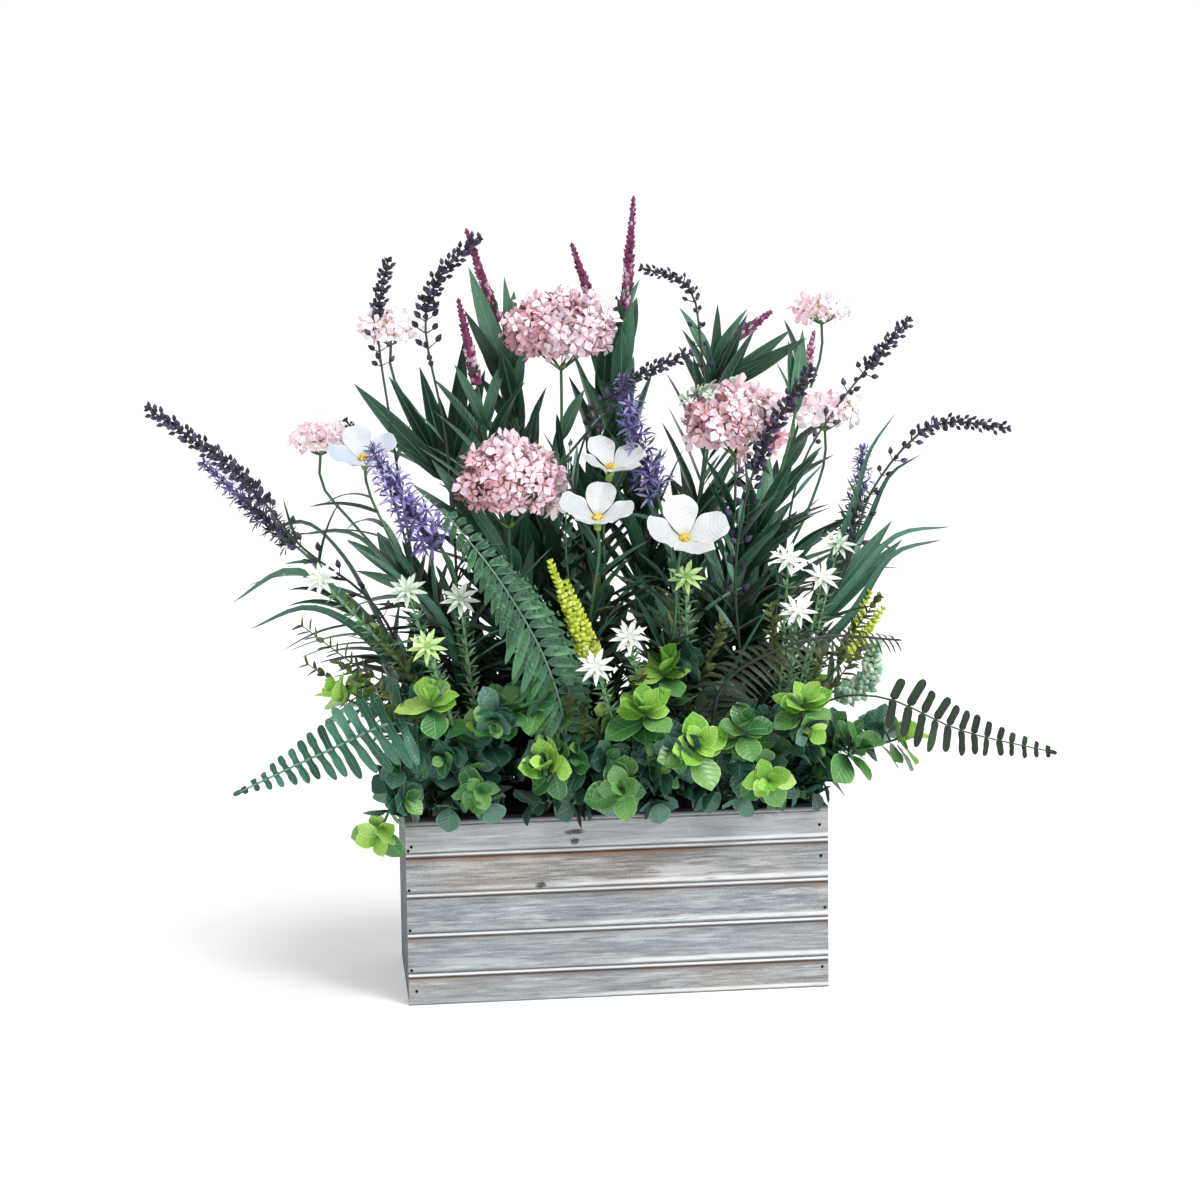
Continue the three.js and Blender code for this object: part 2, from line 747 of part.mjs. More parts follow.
/** Buds round a dark sprig: close together at the tip, spaced out lower down. */
function darkBuds(name, path) {
  const length = path.getLength();
  const share = Math.min(0.5, BUDS.reach / length);
  for (let i = 0; i < BUDS.dense; i += 1) {
    const down = i / BUDS.dense;
    darkBud(name, path, 1 - share * down ** 1.1, i * GOLDEN, mix(...BUDS.lengths, down));
  }
  for (let i = 1; i <= BUDS.spaced; i += 1) {
    darkBud(name, path, 1 - share - (i * BUDS.spacing) / length, i * 2, BUDS.lengths[1]);
  }
}

function darkBud(name, path, t, angle, length) {
  const root = path.getPoint(t);
  const tangent = path.getTangent(t);
  place(name, (attempt) => {
    const out = around(tangent, angle + attempt * 0.6);
    const direction = tangent.clone().multiplyScalar(0.7).addScaledVector(out, 0.8).normalize();
    const line = new THREE.LineCurve3(root, root.clone().addScaledVector(direction, length));
    const size = (at) => (at <= 0 || at >= 1 ? [0, 0] : [BUDS.radius, BUDS.radius]);
    return rod(line, 2, 3, size, sideOf(direction));
  }, 6);
}

/** A many-petalled star at the tip of a stem, turned a little to the front. */
function starBloom(name, curve) {
  const face = curve.getTangent(1).add(new THREE.Vector3(0, -0.7, 0.2)).normalize();
  place(name, (attempt) => star(curve.getPoint(1), face, 14 - attempt, 7, 0.4, 4, 2.5, 0.3), 4);
}

const FROND = {
  rib: 1.1, bare: 95, mostBare: 0.42, last: 0.985, narrow: [0.28, 0.94], sweep: 0.5, sag: 0.12,
};

/**
 * A fern frond: a slim rib with leaflets in pairs, longest a third of the way out. `face` is the
 * way that the upper side of the frond looks.
 */
function fern(name, { hole, path, face, pairs, leaflet, width }) {
  plant(name, 'fern', hole);
  const curve = stem(name, hole, path.map(vec), FROND.rib);
  const bare = Math.min(FROND.mostBare, FROND.bare / curve.getLength());
  for (let i = 0; i < pairs; i += 1) {
    const u = i / (pairs - 1);
    const t = mix(bare, FROND.last, u);
    const reach = leaflet * Math.sin(Math.PI * mix(...FROND.narrow, u));
    for (const side of [-1, 1]) {
      place(name, (attempt) => {
        const shape = { length: reach * (1 - 0.06 * attempt), width, droop: reach * FROND.sag, steps: 2 };
        const tangent = curve.getTangent(t);
        const across = new THREE.Vector3().crossVectors(tangent, vec(face)).normalize();
        const out = across.multiplyScalar(side).applyAxisAngle(tangent, side * 0.12 * attempt);
        return blade(curve.getPoint(t), out.addScaledVector(tangent, FROND.sweep).normalize(), {
          ...shape,
          side: tangent,
        });
      }, 8);
    }
  }
}

const GUM = { spacing: 21, pairs: 2, sizes: [22, 28], shape: 0.8, rise: [0.9, 0.45] };

/** A eucalyptus bush: round leaves in crossed pairs at each tip, smallest at the end. */
function eucalyptus(name, curves) {
  for (const curve of curves) {
    const length = curve.getLength();
    const pairs = Math.min(GUM.pairs, Math.floor((length * 0.75) / GUM.spacing));
    for (let i = 0; i < pairs; i += 1) {
      const t = 1 - (2 + i * GUM.spacing) / length;
      const tangent = curve.getTangent(t);
      const size = mix(...GUM.sizes, i / 2);
      for (const side of [0, 1]) {
        place(name, (attempt) => {
          const turn = side * Math.PI + (i * Math.PI) / 2 + attempt * 0.45;
          const direction = around(tangent, turn).addScaledVector(tangent, GUM.rise[i]).normalize();
          const reach = attempt > TRIES / 2 ? size * 0.75 : size;
          const width = reach * GUM.shape;
          return blade(curve.getPoint(t), direction, { length: reach, width, outline: ROUND });
        });
      }
    }
  }
}

/** A knobbly yellow-green sprig with two lobes. */
function yellowSprig(name, { hole, stem: points, lobes }) {
  plant(name, 'yellow', hole);
  stem(name, hole, points.map(vec));
  for (const [base, tip] of lobes) {
    const spike = ridgedSpike(vec(base), vec(tip), 6.5, 6, 5);
    if (isClear(name, spike)) grow(name, spike);
  }
}

// ---------------------------------------------------------------- building everything

const boards = boxBoards();
Object.values(boards).forEach((board) => keep('box', board));

const everyBush = { ...PINK_BUSHES, ...MAGENTA_BUSHES, ...VIOLET_BUSHES, ...DARK_BUSHES, ...WHITE_BUSHES,
  ...STAR_SPRAYS, ...YELLOW_SPRIGS, ...FERNS, ...EUCALYPTUS };
const foam = foamBlock(Object.values(everyBush).map(({ hole }) => hole));
keep('foam', foam);

const each = (things, make) => (
  Object.fromEntries(Object.entries(things).map(([name, thing]) => [name, make(name, thing)]))
);

// The middles of the blooms first, then the stems that reach them, then what grows on both.
const feet = {
  ...each(PINK_HEADS, pinkCore),
  ...each(WHITE_FLOWERS, whiteHub),
  ...each(MAGENTA_SPIKES, (name, spike) => spikeBody(name, 'magenta', spike, 6.5, 8, 5)),
  ...each(VIOLET_SPIKES, (name, spike) => spikeBody(name, 'violet', spike, 5, 4, 5)),
};
const dark = each(DARK_BUSHES, (name, bush) => plainBush(name, 'dark', bush));
const white = each(WHITE_BUSHES, (name, bush) => bloomBush(name, bush, feet));
const pink = each(PINK_BUSHES, (name, bush) => bloomBush(name, bush, feet));
const magenta = each(MAGENTA_BUSHES, (name, bush) => bloomBush(name, bush, feet));
const violet = each(VIOLET_BUSHES, (name, bush) => bloomBush(name, bush, feet));
const stars = each(STAR_SPRAYS, (name, bush) => plainBush(name, 'star', bush));
const gum = each(EUCALYPTUS, (name, bush) => plainBush(name, 'eucalyptus', bush));
each(YELLOW_SPRIGS, yellowSprig);

each(FERNS, fern);
each(PINK_HEADS, pinkFlorets);
each(WHITE_FLOWERS, whitePetals);
each(VIOLET_SPIKES, (name, { base, tip }) => violetFlorets(name, vec(base), vec(tip)));
each(dark, (name, curves) => curves.forEach((curve) => darkBuds(name, curve)));
each(stars, (name, curves) => curves.forEach((curve) => starBloom(name, curve)));
each(gum, eucalyptus);

const LANCE_LEAVES = { from: 0.3, to: 0.84, count: 5, length: 92, width: 10.5, droop: 6, open: 0.5 };
const PINK_LEAVES = { from: 0.22, to: 0.75, count: 3, length: 78, width: 10, droop: 6, open: 0.5 };
const GRASSY_LEAVES = { from: 0.2, to: 0.75, count: 3, length: 88, width: 6, droop: 26, open: 0.75 };
const WHITE_LEAVES = { from: 0.3, to: 0.75, count: 3, length: 66, width: 9, droop: 6, open: 0.5 };

/** Adds leaves of one kind to every stem of some bushes. */
function dress(bushes, kind) {
  each(bushes, (name, curves) => curves.forEach((curve) => leaves(name, curve, kind)));
}

dress(magenta, LANCE_LEAVES);
dress(pink, PINK_LEAVES);
dress(violet, GRASSY_LEAVES);
dress(white, WHITE_LEAVES);

const centerpiece = new THREE.Group();
centerpiece.name = 'floral_centerpiece';

/** Adds a named mesh to the centerpiece. */
function addMesh(name, solid, material) {
  const mesh = new THREE.Mesh(toGeometry(solid), MATERIALS[material]);
  mesh.name = name;
  centerpiece.add(mesh);
}

for (const [name, board] of Object.entries(boards)) addMesh(name, board, 'board');
addMesh('foam_block', foam, 'foam');
for (const [name, { material, solids }] of plants) addMesh(name, fuse(solids), material);

export default centerpiece;
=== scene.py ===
"""A table centerpiece of artificial flowers in a slatted, whitewashed planter box."""
import math
from collections import namedtuple

import bpy
import numpy as np
from mathutils import Matrix, Vector


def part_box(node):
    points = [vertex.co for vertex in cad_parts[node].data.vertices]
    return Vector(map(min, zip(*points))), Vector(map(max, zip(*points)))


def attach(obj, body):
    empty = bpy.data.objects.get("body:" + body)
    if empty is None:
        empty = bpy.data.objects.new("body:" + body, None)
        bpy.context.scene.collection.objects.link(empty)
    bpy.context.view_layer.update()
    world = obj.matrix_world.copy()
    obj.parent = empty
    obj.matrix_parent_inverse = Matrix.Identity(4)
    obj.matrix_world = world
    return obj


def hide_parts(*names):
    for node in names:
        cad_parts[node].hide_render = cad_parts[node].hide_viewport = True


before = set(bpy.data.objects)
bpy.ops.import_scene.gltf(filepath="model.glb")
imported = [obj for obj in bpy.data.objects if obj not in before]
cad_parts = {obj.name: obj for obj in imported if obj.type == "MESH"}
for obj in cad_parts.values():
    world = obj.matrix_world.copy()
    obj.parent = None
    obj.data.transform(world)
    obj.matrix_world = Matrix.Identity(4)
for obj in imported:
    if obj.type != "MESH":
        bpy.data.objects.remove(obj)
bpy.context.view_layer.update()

MM = 0.001
UP = np.array([0.0, 0.0, 1.0])
TURN = 2 * math.pi
GOLDEN = math.pi * (3 - math.sqrt(5))
rng = np.random.default_rng(7)

# ------------------------------------------------------------------ vectors and paths


def vec(point):
    return np.array(point, dtype=float)


def unit(v):
    return v / max(np.linalg.norm(v), 1e-12)


def mix(a, b, t):
    return a + (b - a) * t


def side_of(direction):
    """A level direction square to the given one."""
    side = np.cross(direction, UP)
    return unit(side) if np.linalg.norm(side) > 1e-3 else np.array([1.0, 0.0, 0.0])


def around(axis, angle):
    """The direction at an angle round an axis."""
    first = side_of(axis)
    second = np.cross(axis, first)
    return first * math.cos(angle) + second * math.sin(angle)


def catmull_rom(points, samples):
    """Points on the smooth curve through `points`, as a centripetal Catmull-Rom spline."""
    p = [vec(q) for q in points]
    p = [2 * p[0] - p[1]] + p + [2 * p[-1] - p[-2]]
    out = []
    for a, b, c, d in zip(p, p[1:], p[2:], p[3:]):
        ab, bc, cd = (max(np.linalg.norm(y - x), 1e-6) ** 0.5 for x, y in ((a, b), (b, c), (c, d)))
        m1 = bc * ((b - a) / ab - (c - a) / (ab + bc) + (c - b) / bc)
        m2 = bc * ((c - b) / bc - (d - b) / (bc + cd) + (d - c) / cd)
        for t in np.linspace(0, 1, samples, endpoint=False):
            cubic = (2 * b - 2 * c + m1 + m2) * t ** 3 + (-3 * b + 3 * c - 2 * m1 - m2) * t ** 2
            out.append(cubic + m1 * t + b)
    out.append(p[-2])
    return np.array(out)


class Path:
    """A smooth line through points, read by the share of its length."""

    def __init__(self, points):
        self.points = catmull_rom(points, 12)
        steps = np.linalg.norm(np.diff(self.points, axis=0), axis=1)
        self.run = np.concatenate([[0.0], np.cumsum(steps)])
        self.length = self.run[-1]

    def at(self, t):
        where = min(max(t, 0.0), 1.0) * self.length
        return np.array([np.interp(where, self.run, self.points[:, k]) for k in range(3)])

    def heading(self, t):
        return unit(self.at(min(t + 0.01, 1.0)) - self.at(max(t - 0.01, 0.0)))


# ------------------------------------------------------------------ outlines of leaves
# Each gives the share of the full width at places u, from 0 at the root to 1 at the tip.


def lance(u):
    return np.sin(np.pi * u ** 0.75) ** 0.8


def grass(u):
    return np.sin(np.pi * np.clip(0.1 + 0.9 * u, 0, 1) ** 0.6) ** 0.6


def oval(u):
    return np.sin(np.pi * u ** 0.85) ** 0.62


def pointed(u):
    """A broad round leaf with a small point at its tip."""
    return np.sin(np.pi * u ** 1.25) ** 0.62 * (1 - 0.25 * np.clip((u - 0.8) / 0.2, 0, 1))


def fan(u):
    return np.sin(np.pi * np.clip(u, 0, 1) ** 1.7 * 0.97) ** 0.6


def toothed(u):
    return oval(u) * (1 - 0.16 * np.abs(np.sin(u * np.pi * 5.5)))


def broad(u):
    """A petal with a narrow claw and a wide rounded end."""
    return np.sin(np.pi * np.clip(u, 0, 1) ** 1.55 * 0.95) ** 0.5


def rounded(u):
    """An oblong leaflet with parallel sides and a round end."""
    end = np.clip((u - 0.72) / 0.3, 0, 1)
    return np.clip(u / 0.12, 0, 1) ** 0.5 * np.sqrt(np.clip(1 - end ** 2.2, 0, 1))


def strap(u):
    """A leaflet as broad at its root as further out, with a round end."""
    end = np.clip((u - 0.6) / 0.42, 0, 1)
    return (1 - 0.18 * np.sin(np.pi * np.clip(u / 0.5, 0, 1))) * np.sqrt(np.clip(1 - end ** 2.4, 0, 1))


# ------------------------------------------------------------------ collecting meshes


def shell_faces(rows, columns):
    """Faces of a thin closed shell: an upper and a lower grid of corners that share their rim."""
    upper = np.arange((rows + 1) * (columns + 1)).reshape(rows + 1, columns + 1)
    lower = upper.copy()
    inside = (rows - 1) * (columns - 1)
    lower[1:-1, 1:-1] = upper.size + np.arange(inside).reshape(rows - 1, columns - 1)

    def quads(grid):
        return np.stack([grid[:-1, :-1], grid[:-1, 1:], grid[1:, 1:], grid[1:, :-1]], -1).reshape(-1, 4)

    return np.concatenate([quads(upper), quads(lower)[:, ::-1]])


def shell_points(points, thickness, u, v):
    """The corners of a shell with its upper side at `points`, and their u and v."""
    normal = np.cross(np.gradient(points, axis=0), np.gradient(points, axis=1))
    normal /= np.maximum(np.linalg.norm(normal, axis=-1, keepdims=True), 1e-9)
    under = (points + normal * thickness)[1:-1, 1:-1]
    flat = [np.concatenate([w.ravel(), w[1:-1, 1:-1].ravel()]) for w in (u, v)]
    return np.concatenate([points.reshape(-1, 3), under.reshape(-1, 3)]), flat[0], flat[1]


def grid(rows, columns):
    return np.meshgrid(np.linspace(0, 1, rows + 1), np.linspace(-1, 1, columns + 1), indexing="ij")


# The least share of its full width that a leaf keeps at its ends, the thickness of the long
# blades and the white petals in millimetres, and the angle in degrees that makes an edge sharp.
LEAST_WIDTH = 0.03
THICKNESS = 0.4
SHARP_FROM = 55


class Piece:
    """One mesh made of many leaves, tubes and beads, in millimetres.

    Each vertex keeps three values for the materials: `tone`, the same all over a leaf,
    `along`, from 0 at its root to 1 at its tip, and `across`, from -1 to 1 over its width.
    """

    def __init__(self, name):
        self.name = name
        self.verts, self.faces, self.slots, self.materials = [], [], [], []
        self.values = {"tone": [], "along": [], "across": []}
        self.count = 0

    def add(self, verts, faces, material, *values):
        """Adds corners, with their tone, along and across, and lists of faces between them."""
        if material not in self.materials:
            self.materials.append(material)
        self.verts.append(verts)
        for part in faces:
            self.faces.extend((part + self.count).tolist())
            self.slots.extend([self.materials.index(material)] * len(part))
        for kept, value in zip(self.values.values(), values):
            kept.append(np.broadcast_to(value, len(verts)))
        self.count += len(verts)

    def stamp(self, shape, place, axes, size, material, tone):
        """Adds a copy of a ready shape, turned to three axes and scaled."""
        verts, faces, along, across = shape
        self.add(place + (verts * size) @ np.array(axes), faces, material, tone, along, across)

    def tube(self, path, radius, material, taper=0.7, sides=6, step=14.0, tone=0.5):
        """A round stem along a path, closed at both ends."""
        rings = max(3, int(path.length / step) + 1)
        angles = TURN * np.arange(sides) / sides
        verts = []
        side = around(path.heading(0), 0.3)
        for i, t in enumerate(np.linspace(0, 1, rings)):
            ahead = path.heading(t)
            side = unit(side - ahead * side.dot(ahead))
            other = np.cross(ahead, side)
            r = radius * mix(1, taper, i / (rings - 1))
            verts.append(path.at(t) + r * (np.outer(np.cos(angles), side) + np.outer(np.sin(angles), other)))
        verts = np.concatenate(verts + [[path.at(0)], [path.at(1) + path.heading(1) * radius * 0.4]])
        self.add(verts, lathe_faces(rings, sides), material, tone, 0.5, 0.0)

    def leaf(self, root, direction, face, length, width, outline, material, tone=0.5, curl=0.0, droop=0.0,
             fold=0.0, wave=0.0, cut=(8, 4), thickness=0.35, avoid=False):
        """A thin leaf or petal from `root`. `face` is the way its upper side looks.

        It curls back from its face, droops with gravity, folds up along its middle and waves
        along its edges, each as a share of its length or width. With `avoid` it is left out
        where it would cross a bloom or the box, and the result says whether it was added.
        """
        direction = unit(direction)
        face = unit(face - direction * face.dot(direction))
        side = np.cross(direction, face)
        u, v = grid(*cut)
        half = width / 2 * np.maximum(outline(u), LEAST_WIDTH)
        lift = fold * half * np.abs(v) - curl * length * u ** 2
        lift = lift + wave * half * v ** 2 * np.sin(u * 11 + tone * 9 + v * 1.5)
        points = (root + np.multiply.outer(u * length, direction) + np.multiply.outer(v * half, side)
                  + np.multiply.outer(lift, face) - np.multiply.outer(droop * length * u ** 2, UP))
        if avoid and not is_free(points[2:, ::2].reshape(-1, 3)):
            return False
        verts, along, across = shell_points(points, thickness, u, v)
        self.add(verts, [shell_faces(*cut)], material, tone, along, across)
        return True

    def ribbon(self, path, width, outline, material, tone):
        """A long folded blade that follows a path."""
        rows, columns, turn = 18, 2, 1.1
        u, v = grid(rows, columns)
        points = np.empty(u.shape + (3,))
        for i, t in enumerate(np.linspace(0, 1, rows + 1)):
            ahead = path.heading(t)
            side = around(ahead, turn)
            lift = np.cross(side, ahead)
            half = width / 2 * max(outline(u[i, 0]), LEAST_WIDTH)
            points[i] = path.at(t) + np.outer(v[i] * half, side) + np.outer(np.abs(v[i]) * half * 0.35, lift)
        verts, along, across = shell_points(points, THICKNESS, u, v)
        self.add(verts, [shell_faces(rows, columns)], material, tone, along, across)

    def make(self, slot, *nodes):
        """Turns what was collected into an object that stands for CAD nodes."""
        mesh = bpy.data.meshes.new(self.name)
        mesh.from_pydata(np.concatenate(self.verts) * MM, [], self.faces)
        for label, values in self.values.items():
            values = np.concatenate(values).astype(np.float32)
            mesh.attributes.new(label, "FLOAT", "POINT").data.foreach_set("value", values)
        for material in self.materials:
            mesh.materials.append(material)
        mesh.polygons.foreach_set("material_index", self.slots)
        mesh.polygons.foreach_set("use_smooth", [True] * len(mesh.polygons))
        mesh.set_sharp_from_angle(angle=math.radians(SHARP_FROM))
        thing = bpy.data.objects.new(self.name, mesh)
        bpy.context.collection.objects.link(thing)
        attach(thing, "root")
        if nodes:
            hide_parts(*nodes)


# ------------------------------------------------------------------ ready shapes
# Each is its corners, its faces, and their `along` and `across`.


def lathe_faces(rings, sides):
    """Faces of rings of corners, with a corner at each end: the first ring's, then the last's."""
    rows = np.arange(rings * sides).reshape(rings, sides)
    nxt = np.roll(rows, -1, axis=1)
    quads = np.stack([rows[:-1], nxt[:-1], nxt[1:], rows[1:]], -1).reshape(-1, 4)
    first, last = rings * sides, rings * sides + 1
    start = np.stack([np.full(sides, first), nxt[0], rows[0]], -1)
    end = np.stack([np.full(sides, last), rows[-1], nxt[-1]], -1)
    return [quads, start, end]


def bead_shape(sides, rings, point=1.0):
    """A closed bead or bud along +X, one unit long and one across."""
    t = np.arange(1, rings + 1) / (rings + 1)
    r = 0.5 * np.sin(np.pi * t ** point)
    angles = TURN * np.arange(sides) / sides
    ring = np.stack([np.zeros(sides), np.cos(angles), np.sin(angles)], -1)
    verts = [ring * radius + [place, 0, 0] for place, radius in zip(t, r)]
    verts = np.concatenate(verts + [[[0.0, 0.0, 0.0]], [[1.0, 0.0, 0.0]]])
    return verts, lathe_faces(rings, sides), verts[:, 0], np.zeros(len(verts))


def petals_shape(petals, outline, width, cup, curl, cut=(3, 2), turn=0.0, thickness=0.03):
    """Petals round +Z, each one unit long, rising by `cup` and curling down by `curl`."""
    u, v = grid(*cut)
    half = width / 2 * np.maximum(outline(u), 0.05)
    parts, faces, count = [], [], 0
    for k in range(petals):
        angle = TURN * (k + turn) / petals
        out = np.array([math.cos(angle), math.sin(angle), 0.0])
        side = np.array([-math.sin(angle), math.cos(angle), 0.0])
        lift = cup * u ** 0.8 - curl * u ** 3 + 0.25 * half * v ** 2 + 0.05 * math.sin(k * 2.4)
        points = (np.multiply.outer(0.04 + u, out) + np.multiply.outer(v * half, side)
                  + np.multiply.outer(lift, UP))
        parts.append(shell_points(points, -thickness, u, v))
        faces.append(shell_faces(*cut)[:, ::-1] + count)
        count += len(parts[-1][0])
    verts, along, across = (np.concatenate(kind) for kind in zip(*parts))
    return verts, [np.concatenate(faces)], along, across


def squeezed(shape, *shares):
    """A ready shape scaled along its own axes."""
    return shape[0] * shares, *shape[1:]


def axes_along(direction, spin=0.0):
    """Three axes whose first follows a direction."""
    first = around(direction, spin)
    return [direction, first, np.cross(direction, first)]


def axes_facing(normal, spin):
    """Three axes whose third is a normal."""
    first = around(normal, spin)
    return [first, np.cross(normal, first), normal]


BEAD = bead_shape(6, 4)
BUD = bead_shape(5, 3, 0.8)
FLORETS = [petals_shape(petals, fan, *shape) for petals, *shape in (
    (4, 0.8, 0.35, 0.25), (4, 0.72, 0.85, 0.1), (4, 0.86, 0.12, 0.4), (5, 0.75, 0.5, 0.2))]
STAR = petals_shape(9, lance, 0.27, 0.2, 0.12, (5, 2), thickness=0.04)
INNER_STAR = petals_shape(7, lance, 0.3, 0.55, 0.1, (4, 2), turn=0.5, thickness=0.05)
SPRAY = petals_shape(5, oval, 0.2, 0.75, 0.15, thickness=0.06)

# ------------------------------------------------------------------ the planting plan
# The same plan as the part's: where each bush stands in the foam, the points that its stems
# pass through, and the place of every bloom. Millimetres.

FOAM_TOP = 126
HANDLE_FOOT = 63
HANDLE_TOP = 150
RIM = 140
BOX_HALF = (158.75, 70)
SLAT_EDGES = (0, 24.25, 54.75, 85.25, 115.75, 140)
ROOM = ((-350, 341), (-165, 150))

# The middle and size of each head.
PINK_HEADS = {
    "pink_head_1": ((-30, 10, 496), (87, 78, 60)),
    "pink_head_2": ((-78, -75, 389), (83, 74, 66)),
    "pink_head_3": ((93, -50, 430), (79, 70, 54)),
    "pink_head_4": ((-155, 95, 496), (50, 46, 24)),
    "pink_head_5": ((188, 100, 505), (44, 40, 22)),
    "pink_head_6": ((185, 72, 426), (52, 46, 30)),
    "pink_head_7": ((-212, 118, 409), (50, 44, 24)),
}
# The foot and tip of each spike.
MAGENTA_SPIKES = {
    "magenta_spike_1": ((23, 38, 510), (31, 44, 595)),
    "magenta_spike_2": ((4, 75, 505), (-12, 92, 560)),
    "magenta_spike_3": ((-76, 30, 502), (-98, 34, 572)),
    "magenta_spike_4": ((-95, -5, 458), (-108, -14, 521)),
    "magenta_spike_5": ((115, 70, 487), (144, 82, 505)),
    "magenta_spike_6": ((161, 40, 452), (171, 44, 490)),
}
VIOLET_SPIKES = {
    "violet_spike_1": ((-234, 14, 338), (-301, 34, 400)),
    "violet_spike_2": ((-129, -79, 344), (-177, -112, 418)),
    "violet_spike_3": ((32, -70, 376), (4, -92, 466)),
    "violet_spike_4": ((193, 32, 320), (214, 66, 397)),
}
# The middle, axis, petal length and turn of each flower.
WHITE_FLOWERS = {
    "white_flower_1": ((-5, -88, 399), (0.1, -0.5, 0.86), 27, 0.3),
    "white_flower_2": ((-18, -116, 366), (-0.1, -0.55, 0.83), 28, -0.15),
    "white_flower_3": ((43, -126, 351), (0.05, -0.7, 0.71), 32, 0.1),
    "white_flower_4": ((-181, -16, 404), (-0.1, -0.62, 0.78), 27, 0.35),
}
# Bushes whose stems end under blooms.
BUSHES = {
    "magenta_bush_left": ((-26, 26), {
        "magenta_spike_2": [(-10, 48, 300), (6, 66, 420)],
        "magenta_spike_3": [(-42, 30, 300), (-62, 29, 420)],
        "magenta_spike_4": [(-56, 16, 280), (-84, 2, 380)],
    }),
    "magenta_bush_right": ((48, 28), {
        "magenta_spike_1": [(38, 34, 300), (19, 36, 430)],
        "magenta_spike_5": [(72, 46, 300), (92, 60, 420)],
        "magenta_spike_6": [(100, 36, 280), (146, 40, 390)],
    }),
    "pink_bush_left": ((-44, 2), {
        "pink_head_1": [(-38, 4, 300), (-31, 9, 400)],
        "pink_head_2": [(-58, -34, 240), (-74, -66, 310)],
        "pink_head_4": [(-85, 45, 300), (-132, 84, 420)],
        "pink_head_7": [(-105, 55, 250), (-185, 104, 340)],
    }),
    "pink_bush_right": ((84, 14), {
        "pink_head_3": [(86, -10, 250), (92, -40, 340)],
        "pink_head_5": [(125, 56, 300), (172, 90, 430)],
        "pink_head_6": [(112, 40, 240), (170, 64, 350)],
    }),
    "violet_bush_left": ((-100, -14), {
        "violet_spike_1": [(-150, -6, 240), (-203, 4, 300)],
        "violet_spike_2": [(-112, -50, 240), (-119, -72, 305)],
        "white_flower_4": [(-112, -22, 250), (-160, -16, 340)],
    }),
    "violet_bush_right": ((58, -16), {
        "violet_spike_3": [(52, -46, 260), (42, -64, 335)],
        "violet_spike_4": [(118, 4, 210), (172, 20, 280)],
    }),
    "white_stems_middle": ((-6, -34), {
        "white_flower_1": [(-8, -48, 220), (-8, -66, 310)],
        "white_flower_2": [(-20, -60, 210), (-22, -88, 285)],
        "white_flower_3": [(16, -58, 200), (38, -88, 265)],
    }),
}

DARK_BUSHES = {
    "dark_lavender_left": ((-122, -2), [
        [(-172, -20, 290), (-230, -30, 343), (-272, -42, 397), (-336, -62, 449)],
        [(-142, 26, 300), (-158, 54, 425), (-165, 84, 504), (-155, 102, 551)],
        [(-113, -2, 290), (-119, -8, 417), (-133, -22, 510), (-121, -28, 540), (-92, -34, 568)],
        [(-138, 36, 280), (-164, 66, 385), (-192, 104, 426)],
    ]),
    "dark_lavender_middle": ((24, 2), [
        [(62, 14, 300), (82, 24, 410), (80, 29, 480), (70, 30, 528), (33, 28, 542)],
        [(-6, -10, 290), (-24, -20, 385), (-3, -44, 446), (22, -52, 465), (60, -60, 481)],
    ]),
    "dark_lavender_right": ((112, 4), [
        [(100, -34, 230), (91, -62, 327), (106, -88, 411), (140, -108, 471)],
        [(138, 20, 290), (158, 34, 384), (189, 52, 429), (256, 84, 498)],
        [(152, 0, 230), (189, -4, 317), (205, -12, 372), (250, -24, 421), (306, -34, 418)],
    ]),
}

STAR_SPRAYS = {
    "star_spray_left": ((-84, -36), [
        ("white", [(-135, -54, 225), (-215, -86, 324)]),
        ("pale", [(-122, -68, 215), (-154, -102, 316)]),
        ("pale", [(-104, -76, 215), (-117, -112, 310)]),
        ("lime", [(-116, -88, 195), (-142, -128, 279)]),
    ]),
    "star_spray_middle": ((44, -34), [
        ("white", [(24, -78, 195), (3, -124, 281)]),
        ("white", [(6, -86, 186), (-22, -130, 261)]),
        ("lime", [(52, -60, 220), (48, -100, 320)]),
    ]),
    "star_spray_right": ((122, -28), [
        ("white", [(127, -46, 235), (129, -70, 327)]),
        ("pale", [(154, -20, 240), (179, -10, 330)]),
        ("white", [(143, -38, 225), (157, -56, 311)]),
        ("white", [(127, -62, 205), (131, -95, 292)]),
    ]),
}

YELLOW_SPRIGS = {
    "yellow_sprig_left": ((-32, -42), [(-24, -78, 195), (-26, -104, 262)],
                          [((-26, -104, 262), (-53, -118, 338)), ((-19, -104, 266), (-41, -114, 322))]),
    "yellow_sprig_right": ((134, 8), [(156, 6, 190), (184, 6, 238)],
                           [((184, 6, 238), (208, 10, 290)), ((188, 10, 236), (221, 20, 276))]),
}

FERNS = {
    "fern_left": ((-138, -34), [(-128, -84, 195), (-160, -106, 222), (-213, -100, 202), (-278, -92, 172)]),
    "fern_front": ((-56, -44), [(-40, -90, 190), (-56, -122, 262), (-90, -130, 326), (-127, -118, 374)]),
    "fern_middle": ((2, -8), [(-20, -28, 250), (-34, -50, 329), (-34, -56, 374), (-31, -62, 420)]),
    "fern_right": ((84, -46), [(68, -92, 190), (74, -114, 245), (140, -120, 276), (205, -104, 270)]),
    "fern_far_right": ((140, -14), [(158, -46, 212), (196, -82, 224), (255, -88, 198), (327, -84, 178)]),
}

